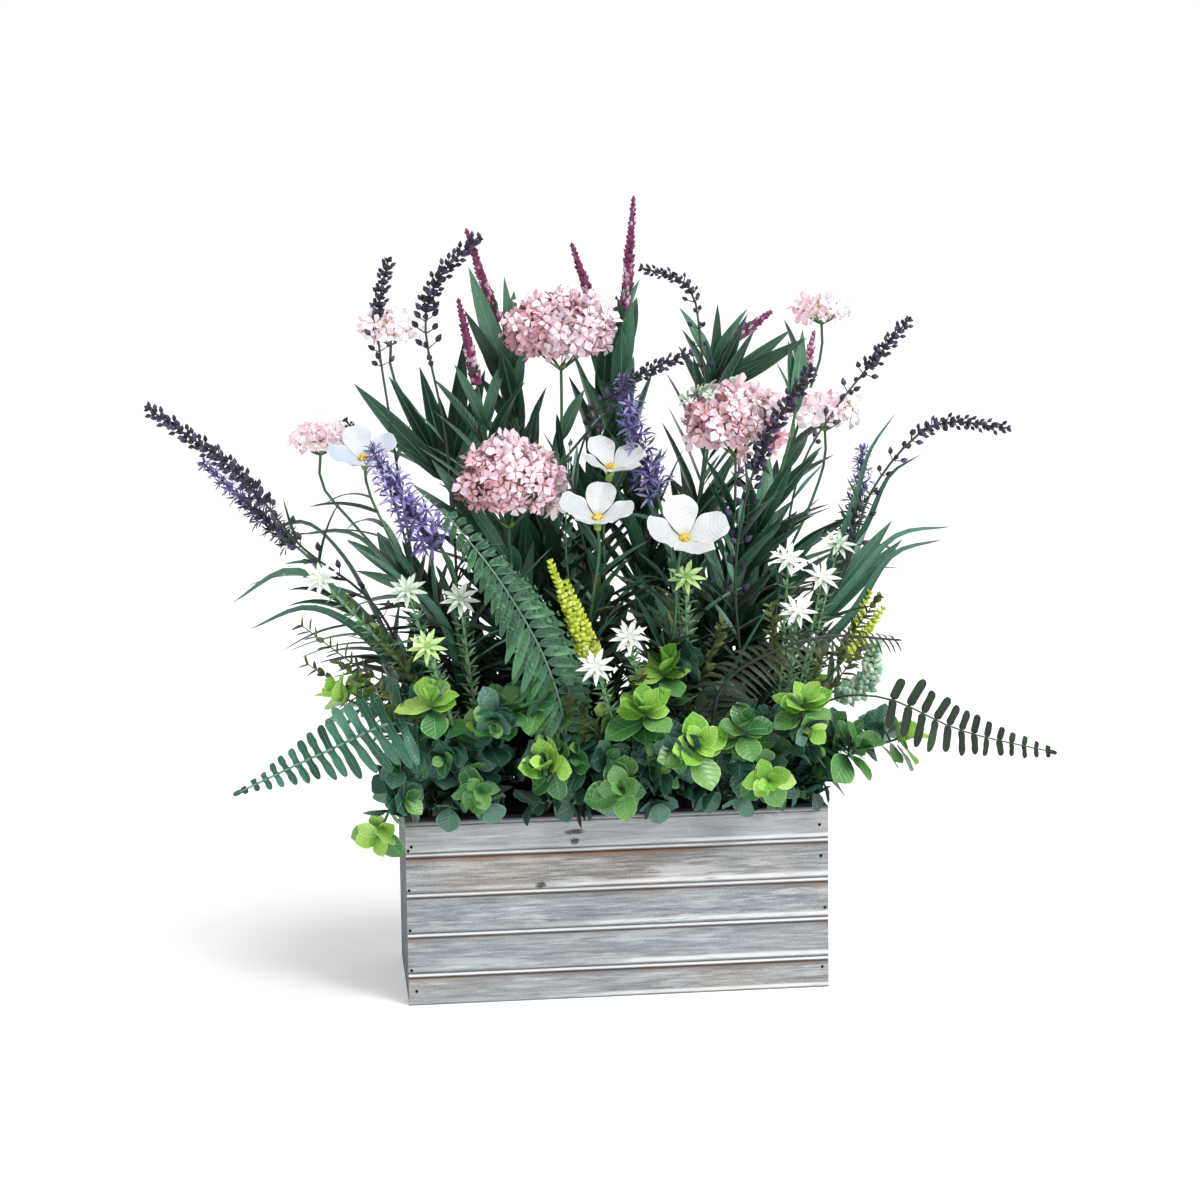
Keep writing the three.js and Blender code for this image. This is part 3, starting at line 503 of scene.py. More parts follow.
EUCALYPTUS = {
    "eucalyptus_front_left": ((-112, -46), [
        [(-150, -80, 185), (-180, -94, 135)], [(-112, -88, 190), (-107, -118, 171)],
        [(-150, -62, 205), (-206, -66, 236)], [(-124, -84, 190), (-140, -116, 240)],
        [(-100, -84, 188), (-88, -120, 236)],
    ]),
    "eucalyptus_front_middle": ((18, -46), [
        [(-30, -90, 184), (-58, -124, 190)], [(-28, -86, 196), (-66, -118, 240)],
        [(16, -84, 186), (14, -122, 230)], [(42, -88, 188), (53, -128, 202)],
        [(6, -92, 172), (-4, -122, 170)], [(32, -72, 198), (30, -104, 256)],
    ]),
    "eucalyptus_front_right": ((104, -48), [
        [(122, -80, 188), (133, -114, 230)], [(146, -66, 176), (180, -86, 188)],
        [(104, -90, 180), (104, -120, 172)], [(162, -52, 168), (222, -60, 190)],
        [(90, -84, 184), (86, -122, 214)],
    ]),
    "eucalyptus_back_left": ((-84, 42), [
        [(-114, 76, 190), (-136, 104, 226)], [(-54, 82, 190), (-44, 116, 212)],
        [(-126, 64, 186), (-184, 84, 214)],
    ]),
    "eucalyptus_back_right": ((76, 46), [
        [(106, 78, 190), (126, 106, 228)], [(56, 84, 188), (46, 116, 212)],
        [(124, 66, 184), (178, 86, 216)],
    ]),
}


def is_free(points):
    """Whether points stay out of the pink heads, the white flowers and the box, and in its room."""
    for at, size in PINK_HEADS.values():
        if (np.linalg.norm((points - at) / (np.array(size) * 0.5), axis=1) < 1.0).any():
            return False
    for at, axis, petal, _ in WHITE_FLOWERS.values():
        if (np.linalg.norm(points - at - np.array(axis) * 8, axis=1) < petal * 0.75).any():
            return False
    for values, (low, high) in zip(points.T, ROOM):
        if (values < low).any() or (values > high).any():
            return False
    x, y, z = np.abs(points.T)
    return not ((z < RIM + 1) & (x < BOX_HALF[0] + 1) & (y < BOX_HALF[1] + 1)).any()


def bloom_feet():
    """Where each bloom's stem ends, and the way that it points there."""
    feet = {name: (vec(at) - UP * size[2] / 2, UP) for name, (at, size) in PINK_HEADS.items()}
    for name, (at, axis, _, _) in WHITE_FLOWERS.items():
        axis = unit(vec(axis))
        feet[name] = (vec(at) - axis * 9, axis)
    for name, (base, tip) in {**MAGENTA_SPIKES, **VIOLET_SPIKES}.items():
        feet[name] = (vec(base), unit(vec(tip) - vec(base)))
    return feet


FEET = bloom_feet()

# ------------------------------------------------------------------ materials


def colour(code):
    """A colour from its hexadecimal sRGB code, as linear light."""
    parts = [int(code[i:i + 2], 16) / 255 for i in (0, 2, 4)]
    return [c / 12.92 if c <= 0.04045 else ((c + 0.055) / 1.055) ** 2.4 for c in parts] + [1.0]


class Shade:
    """A node material under construction. Its methods add nodes and give their outputs."""

    def __init__(self, name, **settings):
        self.material = bpy.data.materials.new(name)
        self.material.use_nodes = True
        self.nodes = self.material.node_tree.nodes
        self.shader = self.nodes["Principled BSDF"]
        for label, value in settings.items():
            self.shader.inputs[label.replace("_", " ")].default_value = value

    def put(self, socket, value):
        if isinstance(value, bpy.types.NodeSocket):
            self.material.node_tree.links.new(value, socket)
        else:
            socket.default_value = value

    def node(self, kind, inputs, output=0, **settings):
        """Adds a node with its settings and inputs, and gives one of its outputs."""
        node = self.nodes.new("ShaderNode" + kind)
        for label, value in settings.items():
            setattr(node, label, value)
        for socket, value in inputs.items():
            self.put(node.inputs[socket], value)
        return node.outputs[output]

    def attribute(self, name):
        return self.node("Attribute", {}, "Fac", attribute_name=name)

    def place(self, scale=(1, 1, 1), shift=None):
        """The place on the object in metres, stretched by a scale and moved by a value."""
        where = self.node("Mapping", {"Vector": self.node("TexCoord", {}, "Object"), "Scale": scale})
        return where if shift is None else self.node("VectorMath", {0: where, 1: shift})

    def noise(self, scale, detail, roughness=0.55, vector=None, distortion=0.0):
        where = self.place() if vector is None else vector
        return self.node("TexNoise", {"Vector": where, "Scale": scale, "Detail": detail, "Roughness": roughness,
                                      "Distortion": distortion}, "Fac")

    def math(self, operation, *values, clamp=False):
        return self.node("Math", dict(enumerate(values)), operation=operation, use_clamp=clamp)

    def times(self, a, b):
        return self.math("MULTIPLY", a, b)

    def line(self, value, slope, start, clamp=False):
        """start + slope * value"""
        return self.math("MULTIPLY_ADD", value, slope, start, clamp=clamp)

    def fade(self, value, low, high):
        """0 up to `low`, 1 from `high`, and smooth between them."""
        return self.node("MapRange", {0: value, 1: low, 2: high}, interpolation_type="SMOOTHSTEP")

    def ramp(self, value, codes):
        """Colours, dark to light, as a value goes from 0 to 1."""
        colours = [colour(code) for code in codes.split()]
        out = self.node("ValToRGB", {"Fac": value}, "Color")
        stops = out.node.color_ramp.elements
        while len(stops) < len(colours):
            stops.new(0.5)
        for i, shown in enumerate(colours):
            stops[i].position, stops[i].color = i / (len(colours) - 1), shown
        return out

    def blend(self, share, a, b):
        """A mix of two colours. A colour mix has its colours at inputs 6 and 7 and output 2."""
        return self.node("Mix", {0: share, 6: a, 7: b}, 2, data_type="RGBA")

    def layer(self, base, mask, share, code):
        """A colour laid over the base where a mask is 1, with part of its strength."""
        return self.blend(self.times(mask, share), base, colour(code))

    def bump(self, height, distance, strength=0.6):
        self.put(self.shader.inputs["Normal"], self.node("Bump", {"Strength": strength, "Distance": distance,
                                                                  "Height": height}, "Normal"))

    def finish(self, base, rough_low, rough_high, rough_by):
        """Sets the shader's colour, and its roughness between two values."""
        self.put(self.shader.inputs["Base Color"], base)
        rough = self.line(rough_by, rough_high - rough_low, rough_low, clamp=True)
        self.put(self.shader.inputs["Roughness"], rough)
        return self.material


def leafy(name, tones, tints, rough, veins=9.0, grain=260.0, rib_width=0.07, edge_from=0.72, root_share=0.5,
          bump=0.0004, mottle=0.35, **settings):
    """A leaf or petal: tones from dark to light, veins, and tints of its root, edge and rib. The paler edge is partly
    the leaf's own rim and partly a painted highlight.
    """
    shade = Shade(name, **settings)
    root, edge, *rib = tints.split()
    tone, along = shade.attribute("tone"), shade.attribute("along")
    across = shade.math("ABSOLUTE", shade.attribute("across"))
    grains = shade.noise(grain, 4)
    mixed = shade.line(grains, mottle, shade.math("SUBTRACT", tone, mottle / 2), clamp=True)
    base = shade.ramp(mixed, tones)
    base = shade.layer(base, shade.fade(along, root_share, 0.0), 0.85, root)
    # The paler edge: partly the leaf's own rim, partly a painted highlight.
    base = shade.layer(base, shade.fade(across, edge_from, 1.0), 0.6, edge)
    vein = shade.math("PINGPONG", shade.line(across, -1.6, shade.times(along, veins)), 0.5)
    relief = shade.line(shade.fade(vein, 0.0, 0.2), 0.6, shade.times(grains, 0.3))
    if rib:
        on_rib = shade.fade(across, rib_width, rib_width * 0.3)
        base = shade.layer(base, on_rib, 0.7, rib[0])
        relief = shade.math("SUBTRACT", relief, on_rib)
    shade.bump(relief, bump)
    return shade.finish(base, *rough, grains)


# Knots: x, z, width and height in metres, and the wall, front (-1) or back (1).
KNOTS = [(-0.033, 0.128, 0.018, 0.005, -1), (-0.033, 0.121, 0.008, 0.006, -1), (-0.059, 0.088, 0.011, 0.006, -1),
         (0.071, 0.071, 0.010, 0.007, 1), (-0.09, 0.128, 0.008, 0.006, 1)]
# The inner faces of the boards, painted near-black as shade, lie within these distances from the middle, in metres.
INNER_X, INNER_Y = 0.1469, 0.0583


def knot_mask(shade, where, x, z, width, height, side):
    """1 inside a knot, with a ragged edge."""
    dx = shade.math("DIVIDE", shade.math("SUBTRACT", where["X"], x), width / 2)
    dz = shade.math("DIVIDE", shade.math("SUBTRACT", where["Z"], z), height / 2)
    away = shade.math("SQRT", shade.math("ADD", shade.times(dx, dx), shade.times(dz, dz)))
    ragged = shade.line(shade.noise(380, 4, 0.7), 1.7, shade.math("SUBTRACT", away, 0.85))
    on_side = shade.math("GREATER_THAN", shade.times(where["Y"], side), 0.0)
    return shade.times(shade.fade(ragged, 1.0, 0.35), on_side)


def whitewash(name, along_x, knots=(), end_shade_and_grain=0.0):
    """Grey-brown pine brushed with thin white and blue-grey paint that has worn off in streaks, with painted
    highlights on the beads and the top slat, and painted shade in the grooves, under the beads, on the box's ends and
    on its inner faces.

    `along` is the share of a slat's height, and `across` is 1 on its bead and -1 in the groove.
    """
    shade = Shade(name, Specular_IOR_Level=0.25)
    fade, times, line = shade.fade, shade.times, shade.line
    shift = times(shade.attribute("tone"), 7.0)
    height, bead = shade.attribute("along"), shade.attribute("across")
    where = shade.node("SeparateXYZ", {0: shade.place()}).node.outputs

    def streaks(stretch, scale, detail, roughness, distortion=0.0):
        stretched = (1, stretch, stretch) if along_x else (stretch, 1, stretch)
        return shade.noise(scale, detail, roughness, shade.place(stretched, shift), distortion)

    fine = streaks(16, 30, 6, 0.72)
    grain = streaks(11, 12, 6, 0.7, 0.2)
    patch = streaks(4, 7, 5, 0.62, 0.3)
    cloud = streaks(3, 3.2, 3, 0.55, 0.4)
    mixed = line(patch, 0.2, line(fine, 0.45, times(grain, 0.2)))
    worn = fade(line(shade.noise(700, 3, 0.6), 0.15, mixed), 0.38, 0.62)
    paint = shade.ramp(worn, "737a7f 8a9095 9ca2a7 abb1b6 c6ccd0")
    wood = shade.ramp(worn, "766b62 8e837a a1988f b2aba3 cdc9c3")
    warm = fade(line(cloud, 0.8, times(patch, 0.3)), 0.52, 0.66)
    base = shade.blend(times(warm, 0.75), paint, wood)

    dabs = fade(line(fine, 0.4, streaks(5, 13, 3, 0.6)), 0.74, 0.88)
    cracks = fade(line(streaks(26, 26, 4, 0.7), 1.0, times(grain, 0.3)), 0.52, 0.46)
    # Just under the groove, a brown band: painted shade, made stronger in patches of rust.
    upper = fade(line(fine, 0.16, height), 0.8, 0.96)
    rust_and_shade = line(fade(line(fine, 0.3, cloud), 0.6, 0.74), 0.6, 0.15)
    # The top slat is lightened: painted light.
    top_slat_light, low_slats = fade(where["Z"], 0.114, 0.119), fade(where["Z"], 0.058, 0.054)
    to_right = fade(line(where["X"], 3.0, patch), 0.38, 0.6)
    ridge = times(times(fade(height, 0.05, 0.07), fade(height, 0.2, 0.12)), line(to_right, 0.52, 0.14))
    joint = fade(height, 0.045, 0.02)
    # On the bead, white paint and a painted highlight; in the groove under it, painted shade.
    bead_paint_and_highlight, groove_shade = times(fade(bead, 0.3, 0.8), fade(fine, 0.2, 0.45)), fade(bead, -0.3, -0.9)
    for mask, share, code in (
            (dabs, 0.45, "dfe4e7"), (cracks, 0.45, "5c5752"), (upper, rust_and_shade, "84583a"), (top_slat_light, 0.3, "dfe3e6"),
            (low_slats, 0.26, "7f848a"), (ridge, fade(fine, 0.25, 0.45), "fafbfc"), (joint, 0.75, "656b73"),
            (bead_paint_and_highlight, 0.85, "f3f5f7"), (groove_shade, 0.8, "66574b")):
        base = shade.layer(base, mask, share, code)
    # The box's ends are darkened: painted shade, and on the slats' cut ends also the darker end grain.
    if end_shade_and_grain:
        base = shade.blend(end_shade_and_grain, base, colour("4f4a46"))
    # The inner faces are painted near-black: painted shade inside the box.
    inside = [shade.math("LESS_THAN", shade.math("ABSOLUTE", where[axis]), limit)
              for axis, limit in (("X", INNER_X), ("Y", INNER_Y))]
    base = shade.layer(base, times(*inside), 0.94, "17130f")
    relief = shade.math("ADD", fine, times(grain, 0.6))
    for knot in knots:
        mask = knot_mask(shade, where, *knot)
        base = shade.layer(base, mask, 0.85, "3b2f28")
        relief = shade.math("SUBTRACT", relief, mask)
    shade.bump(relief, 0.0011, 0.7)
    return shade.finish(base, 0.72, 0.95, grain)


def foam():
    """Dark green florist's foam with fine open pores and crumbs."""
    shade = Shade("florist_foam")
    pores = shade.noise(900, 3, 0.7)
    base = shade.ramp(shade.line(pores, 0.7, shade.times(shade.noise(60, 4), 0.3)), "0b160f 15261b 243b2a")
    shade.bump(pores, 0.002, 0.9)
    return shade.finish(base, 0.85, 1.0, pores)


LANCE_GREEN = leafy("lance_leaf_green", "1b3a2c 28503c 3a684f 568868", "1a3427 4a7a60 7fab90", (0.24, 0.48), veins=14,
                    edge_from=0.6)
# A darker copy of the lance leaf: painted shade on the low inner leaves and over the rim, and a darker leaf at random
# in the fans.
DEEP_GREEN = leafy("lance_leaf_deep", "12261a 1b3626 274833 365c41", "14281b 28472f 43694d", (0.4, 0.65), veins=14)
GRASS_GREEN = leafy("grass_blade_green", "1f3f30 305a48 46745f 6b9984", "21402f 4f8069 86b09b", (0.28, 0.5), veins=3)
OLIVE_GREEN = leafy("olive_leaf", "38441f 4c5a2a 66743a 838f52", "343f1f 6d7a42 8d9863", (0.4, 0.6), veins=6)
STEM_GREEN = leafy("stem_green", "2a4a32 3f6b45 588556", "2f5036 446d4a", (0.4, 0.6))
DARK_STEM = leafy("lavender_stem_dark", "23322c 32453b 45594e", "293a31 364a3f", (0.5, 0.7))
FERN_BLUE = leafy("fern_bluish", "1f4737 2b5845 3b6e58 558971", "285443 5f9680 74a48e", (0.14, 0.34), veins=12,
                  bump=0.0012)
FERN_GREEN = leafy("fern_green", "264a35 33603f 457650 5f9068", "26493a 639a74 6c9876", (0.3, 0.5), veins=16,
                   bump=0.0007)
FERN_OLIVE = leafy("fern_olive", "121d10 1c2a17 2c3b22 46553a", "141f11 344429 55653f", (0.35, 0.6), veins=16,
                   bump=0.0006)
FERN_RIB = leafy("fern_rib_dark", "141f12 1f2d1a 2c3d25", "141f12 27371f", (0.35, 0.6))
FERN_DARK = leafy("fern_dark", "0a190d 102413 172f1a 264426", "0b1a0d 1c3721 3a5a36", (0.6, 0.8), veins=16,
                  bump=0.0006)
GUM_LIME = leafy("eucalyptus_young", "68a838 88c24a a4d65e c2e97e", "5f9a36 daf29b c5e290", (0.2, 0.42), veins=7,
                 rib_width=0.05, edge_from=0.8, bump=0.0009)
GUM_MID = leafy("eucalyptus_middle", "2b5f37 3f7a42 588f4d 79ab60", "2d5c37 a3cb7c 9cc586", (0.2, 0.42), veins=7,
                rib_width=0.05, edge_from=0.82, bump=0.0009)
GUM_BLUE = leafy("eucalyptus_old", "1f4538 2f5d4d 437361 6b9784", "1f4234 8ab59f 84ad99", (0.22, 0.44), veins=7,
                 rib_width=0.05, edge_from=0.84, bump=0.0009)
PINK_PETAL = leafy("pink_petal", "c88c8a e2a5a9 f3bfc9 fadae6 fef2fb", "e09ba2 fdeaf3", (0.6, 0.8), veins=5,
                   root_share=0.35, grain=420, Sheen_Weight=0.25)
# The pale petals glow faintly: painted light.
PINK_PALE = leafy("pink_petal_pale", "f6ccd6 fbe0e8 fff2f6 ffffff", "f4c6cf fff8fa", (0.6, 0.8), veins=5,
                  root_share=0.3, grain=420, Sheen_Weight=0.25, Emission_Strength=0.13,
                  Emission_Color=(1.0, 0.8, 0.86, 1.0))
# A painted shade colour for the inside of the large heads and their buds.
PINK_SHADE = leafy("pink_shadow", "a87f6d c39a88 dbb8a8", "9c7566 cfa99b", (0.7, 0.9))
WHITE_PETAL = leafy("white_petal", "b9c0c4 cbd0d3 d8dbdc e2e4e3", "bcc88c dfe2e2", (0.55, 0.75), veins=11,
                    root_share=0.3, mottle=0.5, bump=0.0006, Sheen_Weight=0.2)
WHITE_BLUISH = leafy("white_petal_bluish", "b4c2d6 c6d1df d4dce5 e0e5ea", "a9b896 d9e0e8", (0.55, 0.75), veins=11,
                     root_share=0.3, mottle=0.5, bump=0.0006, Sheen_Weight=0.2)
THROAT = leafy("yellow_throat", "c9982e dfbb4a eddb80", "9a9a3c f2e29a", (0.6, 0.8))
CALYX = leafy("calyx_green", "6d9340 87a94f a3c066", "5d8238 a9c573", (0.45, 0.65))
MAGENTA = leafy("magenta_bud", "4d1a3c 6a2650 843362 9c4879", "3d1530 8a3d6c", (0.5, 0.75))
FLECK = leafy("magenta_fleck", "b98aa6 cfaac0 e4cbd9", "975783 e8d6e0", (0.6, 0.8))
VIOLET = leafy("violet_bud", "443a76 5a4f92 7267ad 8f86c6", "3c3369 857cbd", (0.6, 0.8), Sheen_Weight=0.2)
VIOLET_PALE = leafy("violet_petal", "7468b6 9188cb aea7de cac5ee", "4f4389 b9b3e4", (0.6, 0.8), Sheen_Weight=0.2)
VIOLET_DARK = leafy("violet_bud_dark", "2f2a47 3e385c 514a74 696192", "29253e 5c5582", (0.6, 0.8))
DARK_BUD = leafy("aubergine_bud", "201a2b 2e263e 3f3553 5a4e70", "1e1a28 4a3f62", (0.5, 0.75))
STAR_WHITE = leafy("star_white", "dce6dc e8efe8 f3f7f2 fcfdfb", "b9d296 f5f9f4", (0.55, 0.75))
STAR_PALE = leafy("star_pale_green", "a9c3ac bdd3bd d2e2cf e5efe1", "8fb183 dbe9d8", (0.55, 0.75))
STAR_LIME = leafy("star_lime", "85bb55 9fd06c bde18d d9f0b4", "6ea544 cfe9a6", (0.5, 0.7))
NEEDLE = leafy("needle_leaf", "4d7a52 689468 89b083 a9c8a0", "456f4a 9dbf95", (0.45, 0.65))
SEDUM = leafy("sedum_pale", "83ad94 a2c6ac bfdac1 d9ead5", "6c967c cfe3cf", (0.45, 0.65))
YELLOW = leafy("yellow_green_bud", "a8bb2c c2d340 d6e35c e9f08a", "8fa52a e0ea78", (0.5, 0.7))
PINE_LONG = whitewash("whitewashed_pine", True, KNOTS)
# Ends darkened with painted shade; the cut ends also show darker end grain.
PINE_CROSS = whitewash("whitewashed_pine_ends", False, end_shade_and_grain=0.12)
PINE_CUT = whitewash("whitewashed_pine_cut", False, end_shade_and_grain=0.5)

# ------------------------------------------------------------------ the box

# A slat's thickness, its bead and the groove under that, its bevel, and its corners along x.
BOARD = 12.0
BEAD_WIDTH = 2.6
GROOVE = 1.5
SLAT_BEVEL = 0.5
SLAT_RINGS = 81
NAIL_SIZE = 2.5
NAIL_OUT = 69.3


def slat_profile(height):
    """The section of a slat: [distance out from its back, height, where it lies]."""
    bead_low = height - BEAD_WIDTH
    points = [(0, 0, 0.0), (BOARD - SLAT_BEVEL, 0, 0.0), (BOARD, SLAT_BEVEL, 0.0)]
    points += [(BOARD, SLAT_BEVEL + (bead_low - GROOVE - SLAT_BEVEL) * k / 7, 0.0) for k in range(1, 7)]
    points += [(BOARD, bead_low - GROOVE, -0.3), (BOARD - GROOVE * 0.9, bead_low - GROOVE * 0.55, -1.0),
               (BOARD - GROOVE * 0.7, bead_low - GROOVE * 0.1, -1.0)]
    for k in range(7):
        angle = math.radians(-50 + 140 * k / 6)
        points.append((BOARD - BEAD_WIDTH / 2 + BEAD_WIDTH / 2 * math.cos(angle),
                       bead_low + BEAD_WIDTH / 2 + BEAD_WIDTH / 2 * math.sin(angle), 1.0 if 1 < k < 6 else 0.4))
    return points + [(0, height, 0.2)]


def slat_piece(node, side, index):
    """A slat with a rounded bead and a slightly uneven, hand-planed face."""
    low, high = (np.array(corner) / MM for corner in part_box(node))
    height = high[2] - low[2]
    profile = slat_profile(height)
    piece = Piece(node + "_pine")
    tone = (index * 0.37 + (0.5 if side > 0 else 0.0)) % 1.0
    phase = index * 1.7 + side
    verts, along, across = [], [], []
    for x in np.linspace(low[0], high[0], SLAT_RINGS):
        for out, z, where in profile:
            wear = 0.12 * math.sin(x * 0.061 + z * 0.4 + phase) + 0.08 * math.sin(x * 0.17 + phase * 2)
            face = out if out < 1 else out - 0.12 + wear * (0.6 if where < 0.5 else 1.0) * (z > 0.6)
            verts.append((x, side * (BOX_HALF[1] - BOARD + face), low[2] + z))
            along.append(max(0.0, z / height) if where <= 0 else 0.0)
            across.append(0.0 if index == 5 else where)
    verts, count = np.array(verts), len(profile)
    rows = np.arange(len(verts)).reshape(-1, count)
    nxt = np.roll(rows, -1, axis=1)
    quads = np.stack([rows[:-1], nxt[:-1], nxt[1:], rows[1:]], -1).reshape(-1, 4)
    if side < 0:
        quads = quads[:, ::-1]
    piece.add(verts, [quads], PINE_LONG, tone, np.array(along), np.array(across))
    for ring, outward in ((rows[0], side > 0), (rows[-1], side < 0)):
        corners = verts[ring if outward else ring[::-1]]
        piece.add(corners, [np.arange(count)[None]], PINE_CUT, tone, 0.4, 0.0)
    piece.make("whitewashed_pine", node)


for side, word in ((-1, "front"), (1, "back")):
    for index in range(1, 6):
        slat_piece(f"slat_{word}_{index}", side, index)

for node, material in (("end_left", PINE_CROSS), ("end_right", PINE_CROSS), ("base_board", PINE_LONG),
                       ("foam_block", foam())):
    holder = bpy.data.objects[node]
    holder.data.materials.clear()
    holder.data.materials.append(material)

# Where the nails show on the front, across and height. They stand NAIL_OUT from the middle.
FRONT_BRADS = [(-154.5, 121), (-157, 118), (-157, 88), (-157, 57.5), (-156.5, 27), (-153, 11), (152, 126),
               (153, 102), (156, 62), (154, 16)]


def brads():
    """Small nail heads near both ends of the slats, front and back."""
    shade = Shade("brad_steel", Metallic=0.8)
    spots = shade.noise(1800, 3)
    steel = shade.finish(shade.ramp(spots, "0d0d0d 1f1c1b 3a332f"), 0.45, 0.7, spots)
    piece = Piece("brads")
    places = [(x, -1, z) for x, z in FRONT_BRADS]
    for low, high in zip(SLAT_EDGES, SLAT_EDGES[1:]):
        for end in (-1, 1):
            x = end * (BOX_HALF[0] - 4.5 - 1.5 * rng.random())
            places.append((x, 1, mix(low, high, 0.42 + 0.16 * rng.random())))
    for x, side, z in places:
        out = vec((0, side, 0))
        piece.stamp(squeezed(BEAD, 0.7, 1, 1), vec([x, side * NAIL_OUT, z]), axes_along(out), NAIL_SIZE, steel,
                    rng.random())
    piece.make("whitewashed_pine")


brads()

# ------------------------------------------------------------------ what grows on stems


def handle(piece, hole, material=STEM_GREEN):
    foot, top = vec([*hole, HANDLE_FOOT]), vec([*hole, HANDLE_TOP])
    piece.tube(Path([foot, mix(foot, top, 0.5), top]), 2.3, material, taper=0.85)


def stem_path(hole, points):
    return Path([vec([*hole, FOAM_TOP + 3])] + [vec(p) for p in points])


def leaves(piece, path, material, start, end, count, length, width, outline=lance, open_by=0.55, droop=0.06,
           curl=0.1, fold=0.35, cut=(8, 4), whorl=1):
    """Leaves up a stem, longest low down, each turned where it stays clear."""
    for i in range(count):
        t = mix(start, end, i / max(count - 1, 1))
        ahead, root = path.heading(t), path.at(t)
        turn = rng.random() * 7
        for k in range(whorl):
            reach = length * mix(1.1, 0.72, t) * (0.85 + 0.3 * rng.random())
            tone = rng.random()
            for attempt in range(7):
                out = around(ahead, turn + k * TURN / whorl + attempt * GOLDEN)
                lean = open_by * (0.8 + 0.4 * rng.random())
                direction = ahead * math.cos(lean) + out * math.sin(lean)
                face = ahead * math.sin(lean) - out * math.cos(lean)
                if piece.leaf(root, direction, face, reach, width * (0.85 + 0.3 * rng.random()), outline, material,
                              tone, curl * rng.random(), droop * (0.6 + 0.8 * rng.random()), fold, 0.06, cut,
                              avoid=True):
                    break


def bead_rows(piece, path, start, end, spacing, per_row, size, lean, shape, material, width, tip_size, flecks=None,
              share=0.0):
    """Beads in close turns round a stem, leaning up, smaller towards the tip."""
    rows = max(2, int((end - start) * path.length / spacing))
    slim = squeezed(shape, 1, width, width)
    for i in range(rows):
        u = i / (rows - 1)
        t = mix(start, end, u)
        ahead = path.heading(t)
        scale = size * mix(1.0, tip_size, u ** 1.4)
        for k in range(per_row):
            out = around(ahead, i * 1.3 + k * TURN / per_row + 0.5 * rng.random())
            angle = lean * (0.8 + 0.4 * rng.random())
            direction = unit(ahead * math.cos(angle) + out * math.sin(angle))
            long = scale * (0.8 + 0.4 * rng.random())
            pale = flecks is not None and rng.random() < share * (2.5 if u < 0.38 else 0.5)
            piece.stamp(slim, path.at(t), axes_along(direction, k), long, flecks if pale else material, rng.random())


def collar(piece, root, axis, angles, spread, length, width, skin=CALYX, rows=4):
    """A ring of small leaves under a bloom, opened by `spread`."""
    for angle in angles:
        out = around(axis, angle)
        piece.leaf(root, axis + out * spread, axis - out, length, width, lance, skin, rng.random(), cut=(rows, 2))


# ------------------------------------------------------------------ blooms

FIVE, SIX = np.arange(5) * 1.26, np.arange(6) * 1.05
# Kinds of pink head: florets on one of a given area, their radius, the lowest one's height,
# lumps, the length of the leaves below, skin, skin inside, and skin of the buds.
Head = namedtuple("Head", "florets area radius lowest lumps collar petal core bud")
LARGE_HEAD = Head(255, 42 * 38, 6.9, -0.66, 9, 11, PINK_PETAL, PINK_SHADE, PINK_SHADE)
SMALL_HEAD = Head(58, 25 * 23, 8.6, -0.35, 5, 9, PINK_PALE, PINK_PALE, CALYX)
LARGE_FROM = 30
# The way that the light comes to a head: florets that face it are painted paler, a painted highlight.
LIT = (0.45, -0.2, 0.1)


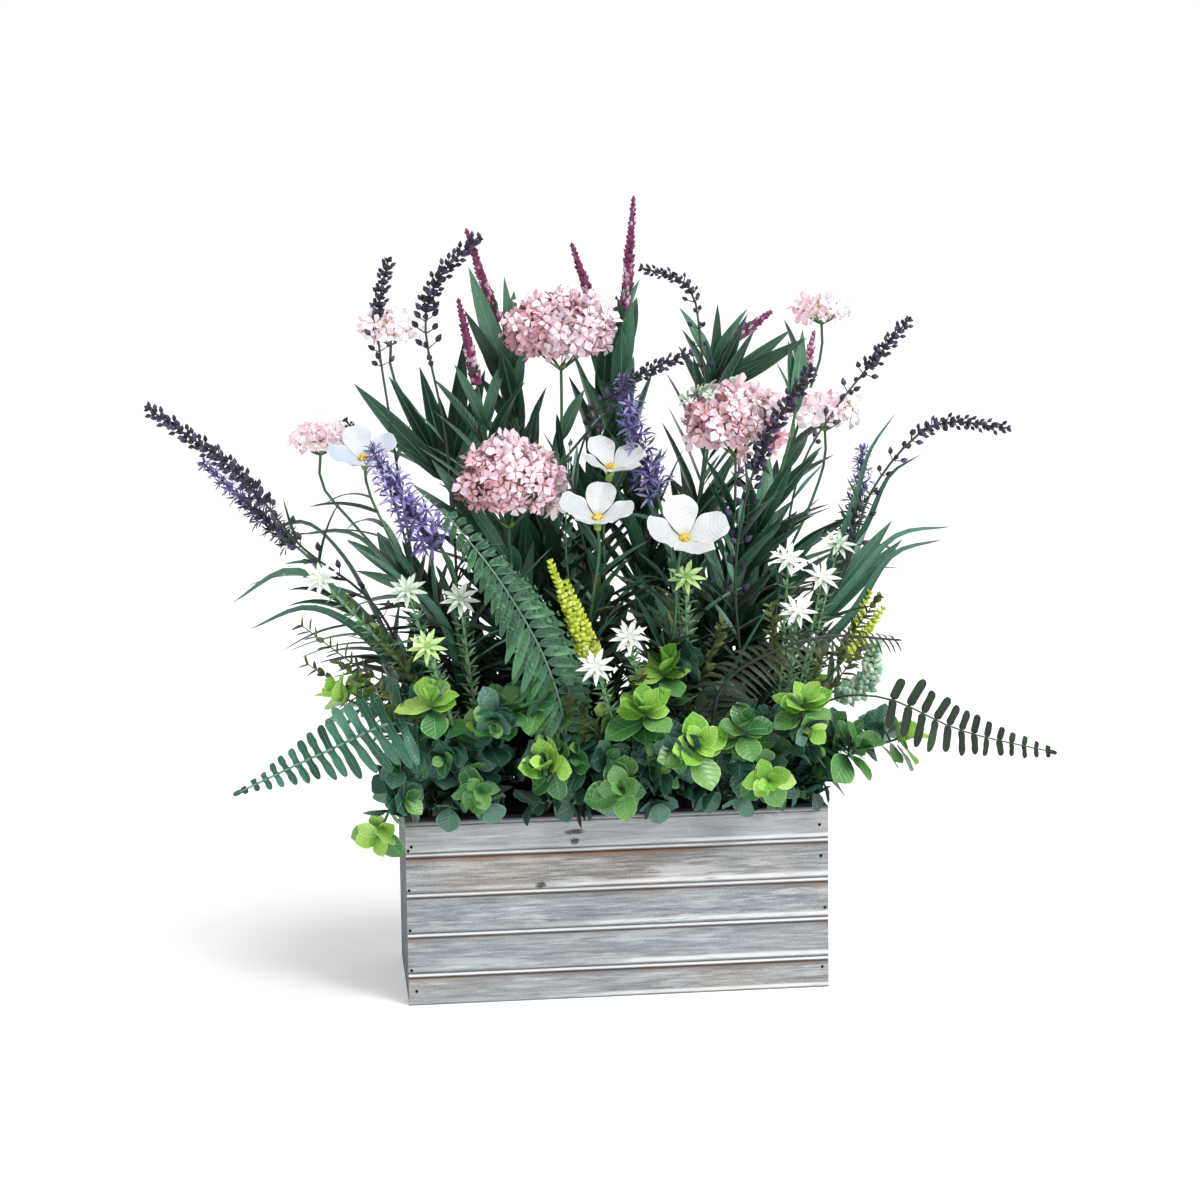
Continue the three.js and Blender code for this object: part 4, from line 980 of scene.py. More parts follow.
def pink_head(name):
    """Small four-petalled florets crowded over a lumpy cluster, on short green stalks."""
    at, size = vec(PINK_HEADS[name][0]), np.array(PINK_HEADS[name][1]) / 2
    large = size[0] > LARGE_FROM
    look = LARGE_HEAD if large else SMALL_HEAD
    piece = Piece(name + "_florets")
    count = int(look.florets * (size[0] * size[1]) / look.area)
    foot, _ = FEET[name]
    piece.stamp(bead_shape(12, 9), at - [size[0] * 0.66, 0, 0], np.diag([1.32, 1.32 * size[1] / size[0],
                1.24 * size[2] / size[0]]), size[0], look.core, 0.0)
    for k in range(9):
        rim = at + np.array([math.cos(k * 0.7), math.sin(k * 0.7), -0.35]) * size * 0.62
        piece.tube(Path([foot, mix(foot, rim, 0.45) - UP * 1.5, rim]), 0.8, STEM_GREEN, step=6, sides=5)
    collar(piece, foot, UP, FIVE, 1 / 0.7, look.collar, 4)
    lumps = rng.normal(0, 1, (look.lumps, 3))
    lumps[:, 2] = lumps[:, 2] * 0.8 + 0.3
    lumps /= np.linalg.norm(lumps, axis=1, keepdims=True)
    for i in range(count):
        z = mix(1.0, look.lowest, (i + 0.5) / count)
        flat = math.sqrt(1 - z * z)
        normal = np.array([flat * math.cos(i * GOLDEN), flat * math.sin(i * GOLDEN), z])
        lump = max(0.0, 1 - np.min(np.linalg.norm(lumps - normal, axis=1)) / 0.75)
        depth = 0.82 + 0.18 * lump + 0.2 * (rng.random() - 0.55)
        out = unit(unit(normal / size) + rng.normal(0, 0.55, 3))
        radius = look.radius * (0.65 + 0.7 * rng.random())
        shape = FLORETS[int(rng.random() * len(FLORETS))]
        place = at + normal * size * depth - out * radius * 0.3
        # Florets sunk deeper are painted darker as shade, and those facing LIT paler as a painted highlight.
        tone = min(1.0, max(0.0, 0.42 + 0.6 * rng.random() + 1.5 * (depth - 0.9) + 0.5 * normal.dot(LIT)))
        rosy = not large and rng.random() < 0.15
        petal = PINK_PETAL if rosy else look.petal
        piece.stamp(shape, place, axes_facing(out, rng.random() * 6), radius, petal, tone)
        piece.stamp(BUD, place - out * 1.5, axes_along(out), 3.2, look.bud, rng.random())
    if name == "pink_head_3":
        # Florets that hang lower at its right, and greenish ones at its upper left.
        for k in range(26):
            lower = k < 14
            way = unit(vec((0.75, -0.45, -0.55) if lower else (-0.5, 0.1, 0.85)) + rng.normal(0, 0.3, 3))
            out = unit(way + rng.normal(0, 0.3, 3))
            piece.stamp(FLORETS[k % 4], at + way * size * 1.04, axes_facing(out, k), 6.5,
                        look.petal if lower else STAR_PALE, rng.random())
    piece.make("pink_petals", name)


# How each petal of a white flower cups, how long it is, and how it curls.
WHITE_PETALS = [(0.5, 1.06, -0.1), (0.62, 1.1, -0.05), (0.46, 1.02, 0.0), (0.58, 0.98, 0.05)]


def white_flower(name):
    """Four broad, softly waved petals round a yellow throat, on a green calyx."""
    at, axis, petal, spin = WHITE_FLOWERS[name]
    at, axis = vec(at), unit(vec(axis))
    piece = Piece(name + "_petals")
    skin = WHITE_BLUISH if name == "white_flower_4" else WHITE_PETAL
    for k, (cup, long, curl) in enumerate(WHITE_PETALS):
        out = around(axis, k * math.pi / 2 + spin)
        size = petal * long
        piece.leaf(at + out * 1.0 + axis * 0.3 * k, out + axis * cup, axis - out * cup, size, size * 0.82, broad, skin,
                   0.2 + 0.15 * k, curl=curl, fold=0.2, wave=0.12, cut=(14, 12), thickness=THICKNESS)
    for k in range(14):
        out = around(axis, k * GOLDEN)
        spot = at + out * 0.7 * math.sqrt(k) + axis * 0.8
        piece.stamp(BUD, spot, axes_along(unit(axis + out * 0.35)), 4.0 - 0.1 * k, THROAT, rng.random())
    collar(piece, at - axis * 8, axis, FIVE + 0.4, 0.55, 12, 5)
    piece.tube(Path([at - axis * 9, at - axis * 4, at]), 2.6, CALYX, taper=1.1, step=3)
    piece.make("white_petals", name)


def magenta_spike(name):
    """A tapered spike of knobbly buds with pale pink flecks."""
    base, tip = (vec(p) for p in MAGENTA_SPIKES[name])
    path = Path([base, mix(base, tip, 0.5), tip])
    piece = Piece(name + "_buds")
    piece.tube(path, 4.6, MAGENTA, taper=0.3, step=6)
    flecks = 1.6 if name == "magenta_spike_6" else 0.16
    bead_rows(piece, path, 0.02, 0.96, 3.4, 9, 7.2, 0.75, BUD, MAGENTA, 0.62, 0.4, FLECK, flecks)
    ahead = path.heading(0)
    collar(piece, base - ahead * 0.3, ahead, SIX, 0.35, 17, 5, LANCE_GREEN, rows=5)
    piece.make("magenta_bloom", name)


# How each blue-violet spike looks: reach of its florets, florets in a whorl, the gap between
# whorls, the share of dark buds at its foot and at its tip, the size of a floret, and the
# skin of its dark buds.
Spire = namedtuple("Spire", "reach around gap dark floret shadow")
SPIRES = {
    "violet_spike_1": Spire(5.5, 5, 8.5, (1.2, 0.0), 8.0, DARK_BUD),
    "violet_spike_2": Spire(11.0, 5, 9.4, (0.25, 0.0), 11.5, VIOLET_DARK),
    "violet_spike_3": Spire(8.0, 4, 8.6, (0.1, 0.5), 10.5, VIOLET_DARK),
    "violet_spike_4": Spire(7.0, 5, 8.0, (1.6, -0.4), 8.5, DARK_STEM),
}


def violet_spike(name):
    """A ragged spike of open blue-violet florets with narrow pointed petals, in whorls."""
    base, tip = (vec(p) for p in VIOLET_SPIKES[name])
    look = SPIRES[name]
    path = Path([base, mix(base, tip, 0.5) + side_of(tip - base) * 3 - UP * 2, tip])
    piece = Piece(name + "_florets")
    piece.tube(path, 1.9, VIOLET_DARK, taper=0.4, step=6)
    bead_rows(piece, path, 0.0, 0.55, 5.4, 5, 7.5, 0.8, BUD, look.shadow, 0.42, 0.9)
    bead_rows(piece, path, 0.55, 0.99, 5.2, 5, 6.8, 0.8, BUD, VIOLET_DARK, 0.42, 0.65, VIOLET, 0.45)
    rows = int(path.length / look.gap)
    for i in range(rows):
        t = mix(0.02, 0.96, i / (rows - 1))
        ahead = path.heading(t)
        swell = 0.85 + 0.3 * rng.random()
        for k in range(look.around):
            turn = i * 0.8 + k * TURN / look.around + 0.6 * rng.random()
            out = unit(around(ahead, turn) + ahead * mix(0.35, 1.1, rng.random()))
            reach = look.reach * mix(1.0, 0.35, t ** 1.5) * (0.7 + 0.6 * rng.random()) * swell
            dull = rng.random() < mix(*look.dark, t)
            skin = look.shadow if dull else VIOLET_PALE if rng.random() > 0.5 else VIOLET
            piece.stamp(squeezed(BUD, 1, 0.25, 0.25), path.at(t), axes_along(out), reach + 1.5, VIOLET, rng.random())
            size = look.floret * mix(1.0, 0.6, t) * (0.75 + 0.5 * rng.random())
            piece.stamp(SPRAY, path.at(t) + out * reach, axes_facing(out, k), size, skin, rng.random())
    ahead = path.heading(0)
    collar(piece, base - ahead * 0.3, ahead, SIX, 0.6, 14, 4, GRASS_GREEN, rows=5)
    piece.make("violet_bloom", name)


for blooms, draw in ((PINK_HEADS, pink_head), (WHITE_FLOWERS, white_flower), (MAGENTA_SPIKES, magenta_spike),
                     (VIOLET_SPIKES, violet_spike)):
    for name in blooms:
        draw(name)

# ------------------------------------------------------------------ bushes

# Long arched blades from a stem: the bloom at its end, where the blade leaves it, and its points.
BLADES = {
    "violet_bush_left": [
        ("violet_spike_1", 0.42, [(-198, -40, 303), (-238, -44, 326), (-280, -48, 304)], 9.5),
        ("violet_spike_1", 0.36, [(-190, -48, 282), (-226, -58, 300), (-268, -62, 286)], 8.5),
        ("violet_spike_1", 0.55, [(-200, 20, 330), (-228, 44, 352), (-262, 60, 340)], 7.0),
        ("violet_spike_2", 0.4, [(-128, -70, 290), (-166, -86, 330), (-196, -92, 352)], 7.0),
        ("white_flower_4", 0.4, [(-150, 30, 300), (-190, 62, 340), (-232, 84, 338)], 8.0),
    ],
    "violet_bush_right": [
        ("violet_spike_4", 0.5, [(188, -16, 300), (222, -24, 338), (262, -30, 344)], 7.5),
        ("violet_spike_4", 0.42, [(190, 8, 270), (228, 18, 318), (268, 22, 328)], 8.0),
        ("violet_spike_4", 0.6, [(206, 18, 340), (226, 20, 380), (250, 20, 395)], 6.5),
        ("violet_spike_4", 0.66, [(196, 12, 360), (208, 10, 400), (227, 8, 428)], 6.0),
        ("violet_spike_4", 0.4, [(180, 50, 280), (222, 74, 318), (252, 92, 310)], 8.0),
        ("violet_spike_3", 0.3, [(74, -80, 230), (96, -110, 280), (104, -124, 300)], 7.0),
    ],
}

# Stems that are bare further below their bloom than the rest: the place where their leaves end.
LEAFY_TO = {"magenta_spike_6": 0.66, "pink_head_6": 0.7, "pink_head_7": 0.7, "pink_head_4": 0.75}

# Fans of long leaves that show above the rest: the bloom on whose stem each fan sits, the
# height it leaves the stem at, and the tips of its leaves.
FANS = {
    "pink_head_4": (376, [(-184, 42, 456), (-156, 58, 462), (-133, 44, 468), (-99, 52, 488), (-84, 50, 464),
                          (-74, 46, 446), (-164, 30, 420), (-120, 30, 446)]),
    "magenta_spike_3": (444, [(-101, 6, 512), (-98, 12, 543), (-70, 8, 536), (-58, 10, 484), (-90, 10, 480)]),
    "magenta_spike_5": (445, [(162, 30, 485), (152, 40, 492), (138, 34, 474), (118, 50, 498), (87, 40, 484),
                              (98, 50, 512)]),
    "magenta_spike_6": (425, [(161, 34, 492), (151, 36, 484), (158, 46, 470)]),
    "pink_head_2": (330, [(-146, -62, 392), (-132, -70, 408), (-118, -80, 396)]),
    "violet_spike_4": (255, [(236, 20, 330), (222, 0, 346), (196, -10, 344)]),
}

# The leaves of each kind of bush, by the first word of its name: their skin, where up the stem
# they start and end, how many, their length, width and the rest. An end of 0 or less is counted
# from the place where the stem's leaves end.
DRESS = {
    "magenta": [(LANCE_GREEN, 0.26, 0, 14, 92, 14, dict(open_by=0.5, whorl=2, fold=0.25)),
                (DEEP_GREEN, 0.05, 0.6, 44, 66, 11, dict(open_by=0.75, cut=(6, 2)))],
    "pink": [(LANCE_GREEN, 0.2, -0.06, 13, 80, 13, dict(fold=0.25)),
             (DEEP_GREEN, 0.04, 0.58, 40, 60, 11, dict(open_by=0.8, cut=(6, 2))),
             (GRASS_GREEN, 0.2, -0.1, 8, 62, 5, dict(open_by=0.7, curl=0.25))],
    "violet": [(GRASS_GREEN, 0.15, 0, 18, 84, 5.5, dict(outline=grass, open_by=0.75, droop=0.25, curl=0.15)),
               (DEEP_GREEN, 0.04, 0.55, 38, 60, 10, dict(open_by=0.85, cut=(6, 2)))],
    "white": [(LANCE_GREEN, 0.2, 0, 10, 62, 9, dict(open_by=0.6)),
              (DEEP_GREEN, 0.04, 0.65, 40, 56, 11, dict(open_by=0.85, cut=(6, 2))),
              (OLIVE_GREEN, 0.3, 0.8, 20, 24, 3.5, dict(open_by=0.9, cut=(4, 2)))],
}


def fan_of_leaves(piece, path, height, tips):
    """Leaves from one place of a stem to the given tips."""
    root = path.at(np.interp(height, path.points[:, 2], path.run) / path.length)
    for tip in tips:
        way = vec(tip) - root
        reach = np.linalg.norm(way)
        face = unit(np.array([0.25, -1.0, 0.35]) + rng.normal(0, 0.3, 3))
        skin = LANCE_GREEN if rng.random() < 0.7 else DEEP_GREEN
        width = reach * 0.1 + 3 * rng.random() + 3
        piece.leaf(root, way, face, reach, width, lance, skin, rng.random(), curl=0.05, fold=0.25, wave=0.05)


def bloom_bush(name):
    """A bush whose stems end under blooms, 22 mm of each straight below its own."""
    hole, stems = BUSHES[name]
    piece = Piece(name + "_leaves")
    handle(piece, hole)
    for bloom, points in stems.items():
        foot, axis = FEET[bloom]
        path = stem_path(hole, points + [foot - axis * 22, foot - axis * 0.35])
        piece.tube(path, 1.5, STEM_GREEN, taper=0.75)
        for skin, start, end, count, length, width, more in DRESS[name.split("_")[0]]:
            end = end if end > 0 else LEAFY_TO.get(bloom, 0.9) + end
            leaves(piece, path, skin, start, end, count, length, width, **more)
        if bloom in FANS:
            fan_of_leaves(piece, path, *FANS[bloom])
        for carrier, start, through, width in BLADES.get(name, []):
            if carrier == bloom:
                blade = Path([path.at(start)] + through)
                piece.ribbon(blade, width, grass, GRASS_GREEN, 0.2 + 0.6 * rng.random())
    piece.make("green_leaves", name)


# How full each dark sprig is: the length of its dense tip, the size of its buds, and how many
# rows of spaced buds it carries below.
SPRIGS = {
    "dark_lavender_left": [(112, 1.15, 9), (60, 1.1, 4), (70, 1.15, 5), (34, 0.75, 3)],
    "dark_lavender_middle": [(46, 0.85, 7), (70, 1.0, 4)],
    "dark_lavender_right": [(88, 1.2, 8), (54, 1.1, 7), (70, 1.0, 8)],
}


def stalked_bud(piece, path, t, turn, stalk, length):
    """A round bud on a short stalk that leaves a sprig's stem, where it is clear of blooms."""
    ahead, root = path.heading(t), path.at(t)
    out = unit(around(ahead, turn) + ahead * 0.5)
    top = root + out * stalk
    if is_free(np.array([top, top + out * length])):
        piece.tube(Path([root, mix(root, top, 0.5), top]), 0.55, DARK_STEM, sides=4, step=3)
        piece.stamp(squeezed(BUD, 1, 0.62, 0.62), top - out * 0.5, axes_along(unit(out + ahead * 0.4)), length,
                    DARK_BUD, rng.random())


def dark_lavender(name):
    """Aubergine-black budded sprigs, dense at the tip and in spaced pairs lower down."""
    hole, stems = DARK_BUSHES[name]
    piece = Piece(name + "_sprigs")
    handle(piece, hole, DARK_STEM)
    for points, (dense_length, fullness, pairs) in zip(stems, SPRIGS[name]):
        path = stem_path(hole, points)
        piece.tube(path, 1.3, DARK_STEM, taper=0.6)
        dense = dense_length / path.length
        bead_rows(piece, path, 1 - dense, 0.995, 5.4, 4, 6.4 * fullness, 1.0, BUD, DARK_BUD, 0.62, 0.7)
        rows = int(dense_length / 5.5)
        for i in range(rows):
            u = i / rows
            for k in range(3):
                stalked_bud(piece, path, 1 - dense * (1 - u) - 0.004, i * 1.2 + k * 2.1,
                            mix(5.0, 3.0, u) * fullness, 5.0 * fullness)
        where, gap = (1 - dense) * path.length - 2, 6.5
        for i in range(pairs):
            for k in range(2 + i % 2):
                stalked_bud(piece, path, where / path.length, i * 1.4 + k * (math.pi - 1.0 * (i % 2)),
                            (3.5 + 4.0 * rng.random()) * fullness, 6.8 * fullness)
            where, gap = where - gap, gap + 2.6
        leaves(piece, path, GRASS_GREEN, 0.1, 0.62, 10, 46, 4.5, open_by=0.6)
    piece.make("dark_lavender", name)


STAR_COLOURS = {"white": STAR_WHITE, "pale": STAR_PALE, "lime": STAR_LIME}
# Small-leaved olive twigs beside the stars: the stem and the place on it, and the twig's tip.
OLIVE_TWIGS = {
    "star_spray_left": [(0, 0.45, (-231, -60, 288)), (0, 0.35, (-205, -74, 262)), (0, 0.3, (-228, -50, 258)),
                        (1, 0.4, (-176, -92, 290)), (1, 0.5, (-196, -60, 306)), (3, 0.5, (-178, -110, 250))],
    "star_spray_middle": [(0, 0.5, (10, -112, 250)), (2, 0.5, (74, -104, 286)), (1, 0.5, (-40, -116, 236))],
    "star_spray_right": [(0, 0.5, (112, -92, 296)), (1, 0.5, (206, -30, 292)), (3, 0.4, (150, -100, 262)),
                         (2, 0.4, (186, -72, 262))],
}


def star_spray(name):
    """Small many-petalled stars on stems with whorls of needle leaves."""
    hole, stems = STAR_SPRAYS[name]
    piece = Piece(name + "_stars")
    handle(piece, hole)
    paths = [stem_path(hole, points) for _, points in stems]
    for number, start, tip in OLIVE_TWIGS[name]:
        root = paths[number].at(start)
        twig = Path([root, mix(root, vec(tip), 0.5) - UP * 6, tip])
        piece.tube(twig, 0.9, STEM_GREEN, taper=0.5, sides=5, step=10)
        leaves(piece, twig, OLIVE_GREEN, 0.2, 0.98, 15, 13, 4.6, oval, open_by=0.9, cut=(5, 2), whorl=2)
    for (kind, _), path in zip(stems, paths):
        skin = STAR_COLOURS[kind]
        piece.tube(path, 1.2, NEEDLE)
        face = unit(path.heading(1) * 0.8 + np.array([0, -1.0, 0.25]))
        top = path.at(1)
        piece.stamp(STAR, top, axes_facing(face, 0.2), 14.5, skin, 0.7)
        piece.stamp(INNER_STAR, top + face * 1.2, axes_facing(face, 0.5), 9.5, skin, 0.9)
        for k in range(7):
            out = around(face, k * GOLDEN)
            piece.stamp(BUD, top + out * 0.35 * k, axes_along(unit(face + out * 0.3)), 3.6, skin, 0.1)
        leaves(piece, path, NEEDLE, 0.3, 0.97, 17, 13, 2.6, open_by=0.95, cut=(4, 2), whorl=5)
    if name == "star_spray_right":
        twig = Path([paths[1].at(0.45), (190, -46, 226), (198, -58, 262)])
        piece.tube(twig, 1.2, NEEDLE, step=8)
        bead_rows(piece, twig, 0.3, 0.98, 4.2, 9, 12.5, 1.1, BEAD, SEDUM, 0.5, 0.6)
    piece.make("star_sprays", name)


def yellow_sprig(name):
    """Knobbly yellow-green lobes on a stem."""
    hole, stem, lobes = YELLOW_SPRIGS[name]
    piece = Piece(name + "_buds")
    handle(piece, hole)
    path = stem_path(hole, stem)
    piece.tube(path, 1.4, STEM_GREEN)
    for base, tip in lobes:
        lobe = Path([base, mix(vec(base), vec(tip), 0.5), tip])
        piece.tube(lobe, 2.2, YELLOW, taper=0.4, step=6)
        bead_rows(piece, lobe, 0.0, 0.97, 3.7, 7, 7.4, 0.9, BEAD, YELLOW, 0.62, 0.5)
    leaves(piece, path, LANCE_GREEN, 0.3, 0.95, 7, 34, 7, open_by=0.6)
    piece.make("yellow_sprigs", name)


# How a fern looks: its leaf, pairs of leaflets, their length, width and outline, the way its
# upper side looks, how far the leaflets on each side lean towards the tip, how much they hang,
# the length that stays bare, the place where the leaflets begin to shrink, the radius of its
# rib, and the last leaflets' share of the full length.
Frond = namedtuple("Frond", "skin pairs size outline face sweep hang bare shrink rib least")
FRONDS = {
    "fern_left": Frond(FERN_BLUE, 20, (32, 7.9), strap, (-0.1, -0.85, 0.5), (-0.25, 0.1), 0.12, 84, 0.45, 1.8, 0.1),
    "fern_front": Frond(FERN_GREEN, 27, (28, 9.0), toothed, (0.1, -0.9, 0.3), (-0.6, -0.1), 0.35, 84, 0.5, 1.4, 0.3),
    "fern_middle": Frond(FERN_GREEN, 16, (15, 7.5), toothed, (0.85, -0.5, 0.1), (0.5, 0.5), 0.1, 90, 0.4, 1.2, 0.3),
    "fern_right": Frond(FERN_OLIVE, 36, (25, 3.2), lance, (0.0, -0.7, 0.7), (-0.35, 0.65), 0.35, 70, 0.4, 2.1, 0.35),
    "fern_far_right": Frond(FERN_DARK, 13, (27, 7.0), rounded, (0.0, -0.85, 0.5), (0.1, 0.15), 0.08, 156, 0.1, 1.1,
                            0.2),
}


def fern(name):
    """A frond: leaflets in pairs along a rib."""
    hole, points = FERNS[name]
    look = FRONDS[name]
    leaflet, width = look.size
    piece = Piece(name + "_frond")
    handle(piece, hole)
    path = stem_path(hole, points)
    piece.tube(path, look.rib, FERN_RIB if name == "fern_right" else look.skin, taper=0.4,
               tone=0.05 if name == "fern_front" else 0.5)
    bare = look.bare / path.length
    for i in range(look.pairs):
        u = i / (look.pairs - 1)
        t = mix(bare, 0.985, u ** 0.92)
        past = max(0.0, (u - look.shrink) / (1 - look.shrink))
        size = mix(0.75, 1.0, min(u / 0.15, 1)) * mix(1.0, look.least, past ** 0.8)
        ahead, root = path.heading(t), path.at(t)
        across = unit(np.cross(ahead, look.face))
        up = unit(np.cross(across, ahead))
        for side, sweep in zip((-1, 1), look.sweep):
            lean = sweep + rng.normal(0, 0.05)
            direction = unit(across * side + ahead * lean + up * rng.normal(0.15, 0.1))
            long = leaflet * size * (0.92 + 0.16 * rng.random())
            wide = width * mix(1, 0.55, past)
            tone = rng.random()
            turned = unit(up + ahead * rng.normal(0.1, 0.15))
            piece.leaf(root, direction, turned, long, wide, look.outline, look.skin, tone, curl=0.14,
                       droop=look.hang, fold=0.3, wave=0.1, cut=(12, 4))
            if look.outline is toothed:
                lobes(piece, root, direction, turned, long, wide, look.skin)
    piece.leaf(path.at(0.985), path.heading(1), unit(vec(look.face)), leaflet * 0.3, width * 0.5, look.outline,
               look.skin)
    piece.make("fern_leaves", name)


def lobes(piece, root, direction, up, length, width, skin):
    """Small lobes along both edges of a leaflet, which make the frond look twice divided."""
    side = np.cross(direction, up)
    for k in range(1, 6):
        place = root + direction * length * k / 6.5
        for way in (-1, 1):
            out = side * way + direction * 0.9
            size = width * 0.62 * math.sin(math.pi * (0.25 + 0.7 * k / 6))
            piece.leaf(place, out, up, size, size * 0.55, oval, skin, rng.random(), curl=0.1, fold=0.1, cut=(4, 2))


def side_twigs(piece, path, count, reach, start, end, dress):
    """Short side twigs, each dressed with leaves, where they stay clear."""
    for j in range(count):
        root = path.at(mix(start, end, (j + rng.random()) / count))
        for _ in range(8):
            out = around(UP, rng.random() * 7)
            tip = root + reach * (out * mix(0.6, 1.0, rng.random()) + UP * mix(-0.1, 0.9, rng.random()))
            if is_free(np.array([tip, mix(root, tip, 0.6)])):
                twig = Path([root, mix(root, tip, 0.5) + UP * 4, tip])
                piece.tube(twig, 0.9, STEM_GREEN, taper=0.6, sides=5, step=8)
                dress(twig)
                break


def rosette(piece, top, ahead, size, count, skins):
    """Round leaves in crossed pairs at the tip of a twig, the young ones smallest and palest."""
    for k in range(count):
        ring = k / (count - 1)
        out = unit(around(ahead, k // 2 * 1.57 + k % 2 * math.pi + 0.4) + rng.normal(0, 0.2, 3))
        lean = mix(0.35, 1.5, ring) + rng.normal(0, 0.2)
        direction = ahead * math.cos(lean) + out * math.sin(lean)
        face = ahead * math.sin(lean) - out * math.cos(lean)
        reach = size * mix(0.55, 1.05, ring ** 0.7) * (0.82 + 0.34 * rng.random())
        skin = skins[min(int(ring * len(skins) * 0.999), len(skins) - 1)]
        piece.leaf(top - ahead * 13 * ring, direction, face, reach, reach * 0.76, pointed, skin, rng.random(),
                   curl=0.12, fold=0.2, wave=0.06, cut=(7, 4), avoid=True)


# Low twigs that lie over the box's rim: where each one ends.
RIM_TWIGS = {
    "eucalyptus_front_left": [(-153, -44, 152), (-150, -76, 156), (-126, -80, 152), (-98, -80, 154), (-166, -14, 160),
                              (-70, -56, 176), (-78, -20, 180)],
    "eucalyptus_front_middle": [(-66, -80, 153), (-34, -80, 150), (-2, -82, 153), (28, -80, 150), (62, -82, 153),
                                (-50, -60, 182), (-44, -20, 176), (66, -58, 184), (60, -10, 180)],
    "eucalyptus_front_right": [(90, -80, 151), (118, -80, 154), (146, -78, 153), (158, -54, 156), (166, -16, 160),
                               (150, -30, 158)],
    "eucalyptus_back_left": [(-152, 56, 154), (-122, 80, 153), (-84, 82, 154), (-46, 80, 152), (-164, 24, 158)],
    "eucalyptus_back_right": [(152, 56, 154), (122, 80, 153), (84, 82, 154), (40, 80, 152), (164, 24, 158)],
}


def rim_twig(piece, hole, tip):
    """A low arched twig from the top of a bush's handle, with bluish leaves and dark leaves that are painted shade
    over the rim.
    """
    root, tip = vec([*hole, HANDLE_TOP - 6]), vec(tip)
    twig = Path([root, mix(root, tip, 0.5) + UP * 16, tip])
    piece.tube(twig, 1.0, STEM_GREEN, taper=0.6, sides=5, step=10)
    leaves(piece, twig, GUM_BLUE, 0.35, 1.0, 6, 23, 17, pointed, open_by=0.9, fold=0.15, cut=(6, 4), whorl=2)
    leaves(piece, twig, DEEP_GREEN, 0.15, 0.9, 14, 26, 11, open_by=0.9, droop=0.0, cut=(5, 2))


def eucalyptus(name):
    """Round leaves in crossed pairs up each stem, lime at the tips and bluish lower down."""
    hole, stems = EUCALYPTUS[name]
    piece = Piece(name + "_leaves")
    handle(piece, hole)

    def leafy_twig(twig):
        skins = [GUM_LIME, GUM_MID, GUM_MID] if rng.random() < 0.3 else [GUM_MID, GUM_BLUE, GUM_BLUE]
        rosette(piece, twig.at(1), twig.heading(1), 20, 7, skins)
        leaves(piece, twig, GUM_BLUE, 0.3, 0.8, 3, 21, 17, pointed, open_by=1.0, fold=0.15, cut=(6, 4), whorl=2)

    for tip in RIM_TWIGS[name]:
        rim_twig(piece, hole, tip)
    for number, points in enumerate(stems):
        path = stem_path(hole, points)
        piece.tube(path, 1.5, STEM_GREEN, taper=0.6)
        side_twigs(piece, path, 4, 36, 0.25, 0.9, leafy_twig)
        young = GUM_LIME if number % 3 != 1 else GUM_MID
        ahead = path.heading(1)
        hanging = ahead[2] < -0.2
        ahead = unit(ahead + (np.array([0, -1.2, 0.5]) if hanging else UP * 0.45))
        rosette(piece, path.at(1), ahead, 21 if hanging else 27, 9, [young, young, young, GUM_MID])
        pairs = int(path.length * 0.62 / 13)
        for i in range(pairs):
            t = 1 - (9 + i * 13) / path.length
            ahead = path.heading(t)
            u = i / pairs
            skin = (young, GUM_MID, GUM_BLUE, GUM_BLUE)[min(int(u * 4 + rng.random()), 3)]
            for side in (0, 1):
                for attempt in range(5):
                    out = around(ahead, side * math.pi + i * 1.57 + attempt * 0.6)
                    size = mix(20, 27, u) * (0.85 + 0.3 * rng.random())
                    if piece.leaf(path.at(t), unit(out + ahead * 0.5), unit(ahead - out * 0.5), size, size * 0.82,
                                  pointed, skin, rng.random(), curl=0.1, droop=0.1, fold=0.15, wave=0.05, cut=(7, 4),
                                  avoid=True):
                        break
    piece.make("eucalyptus_leaves", name)


for bushes, draw in ((BUSHES, bloom_bush), (DARK_BUSHES, dark_lavender), (STAR_SPRAYS, star_spray),
                     (YELLOW_SPRIGS, yellow_sprig), (FERNS, fern), (EUCALYPTUS, eucalyptus)):
    for name in bushes:
        draw(name)

# ------------------------------------------------------------------ floor, light and camera

FLOOR_REACH = 30.0
TARGET = (0, 0, 0.3)
# Area lights: place, size, power and tint.
LIGHTS = {
    "key": ((1.4, -2.0, 2.0), 0.7, 31, (1.0, 0.995, 0.985)),
    "fill": ((-1.9, -1.5, 1.0), 1.5, 4, (0.93, 0.96, 1.0)),
    "back": ((-1.0, 2.2, 1.7), 1.5, 10, (1, 1, 1)),
}
SUN_POWER, SUN_WIDTH, SUN_WAY = 1.95, 30, (-0.36, 0.42, -1.0)
# The studio is white to the eye, and lights the object less than that.
SKY_SEEN, SKY_LIGHT = 1.03, 0.44
CAMERA_PLACE = (-226, -1977, 572)
YAW, PITCH, ROLL = (math.radians(angle) for angle in (6.41, 8.03, -0.77))
LENS, SENSOR = 79.05, 36


def add_object(name, data):
    thing = bpy.data.objects.new(name, data)
    bpy.context.collection.objects.link(thing)
    return thing


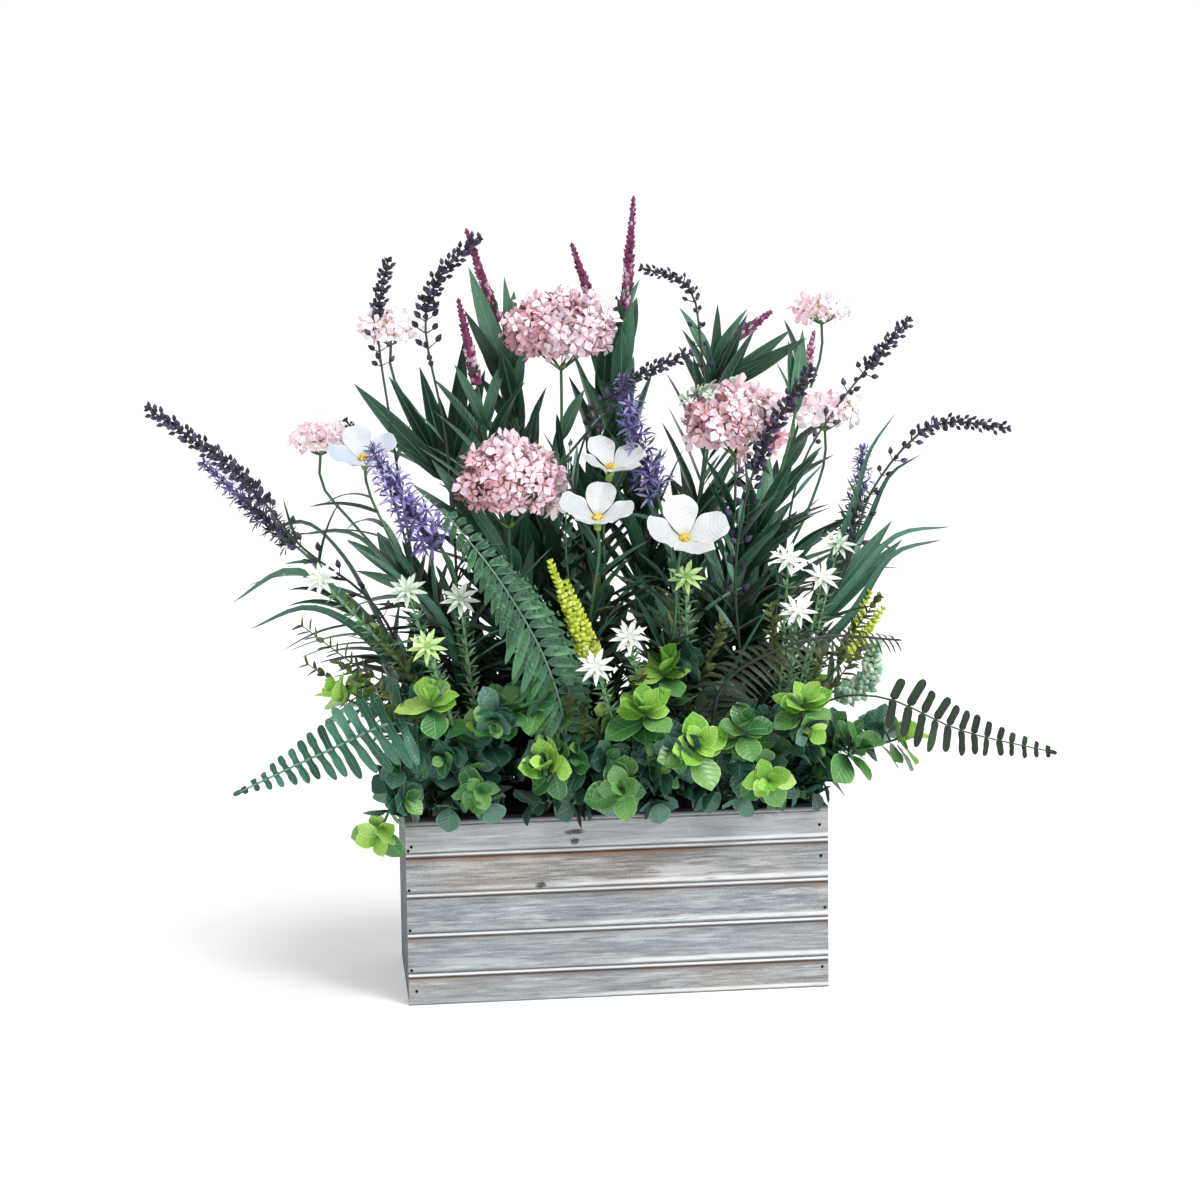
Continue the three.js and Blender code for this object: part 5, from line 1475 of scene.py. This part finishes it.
def floor():
    """A wide pale floor with a faint mottle."""
    mesh = bpy.data.meshes.new("floor")
    mesh.from_pydata([(x * FLOOR_REACH, y * FLOOR_REACH, 0) for x, y in ((-1, -1), (1, -1), (1, 1), (-1, 1))], [],
                     [(0, 1, 2, 3)])
    shade = Shade("studio_floor", Roughness=0.9, Specular_IOR_Level=0.1, Emission_Strength=0.22,
                  Emission_Color=(1, 1, 1, 1))
    fine = shade.noise(2.0, 3)
    mesh.materials.append(shade.finish(shade.ramp(fine, "f6f7f7 fafafa"), 0.85, 0.95, fine))
    thing = add_object("floor", mesh)


def turned_to(way):
    """The rotation of a light or camera that looks a given way."""
    return Vector(way).to_track_quat("-Z", "Y").to_euler()


floor()
for name, (place, size, power, tint) in LIGHTS.items():
    light = bpy.data.lights.new(name, "AREA")
    light.size, light.energy, light.color = size, power, tint
    lamp = add_object(name, light)
    lamp.location = place
    lamp.rotation_euler = turned_to(Vector(TARGET) - Vector(place))

sun = bpy.data.lights.new("overhead", "SUN")
sun.energy, sun.angle = SUN_POWER, math.radians(SUN_WIDTH)
add_object("overhead", sun).rotation_euler = turned_to(SUN_WAY)

world = bpy.data.worlds.new("studio")
world.use_nodes = True
sky = world.node_tree.nodes["Background"]
sky.inputs["Color"].default_value = (1, 1, 1, 1)
rays = world.node_tree.nodes.new("ShaderNodeLightPath")
strength = world.node_tree.nodes.new("ShaderNodeMath")
strength.operation = "MULTIPLY_ADD"
strength.inputs[1].default_value = SKY_SEEN - SKY_LIGHT
strength.inputs[2].default_value = SKY_LIGHT
world.node_tree.links.new(rays.outputs["Is Camera Ray"], strength.inputs[0])
world.node_tree.links.new(strength.outputs[0], sky.inputs["Strength"])
bpy.context.scene.world = world
bpy.context.scene.view_settings.view_transform = "Standard"

# The camera that was fitted to the corners of the box's front in the photograph.
ahead = Vector((math.sin(YAW) * math.cos(PITCH), math.cos(YAW) * math.cos(PITCH), -math.sin(PITCH)))
level = Vector((math.cos(YAW), -math.sin(YAW), 0))
above = level.cross(ahead)
right = level * math.cos(ROLL) + above * math.sin(ROLL)
over = above * math.cos(ROLL) - level * math.sin(ROLL)
lens = bpy.data.cameras.new("camera")
lens.lens, lens.sensor_width = LENS, SENSOR
camera = add_object("camera", lens)
turn = Matrix((right, over, -ahead)).transposed().to_4x4()
camera.matrix_world = Matrix.Translation(Vector(CAMERA_PLACE) * MM) @ turn
bpy.context.scene.camera = camera
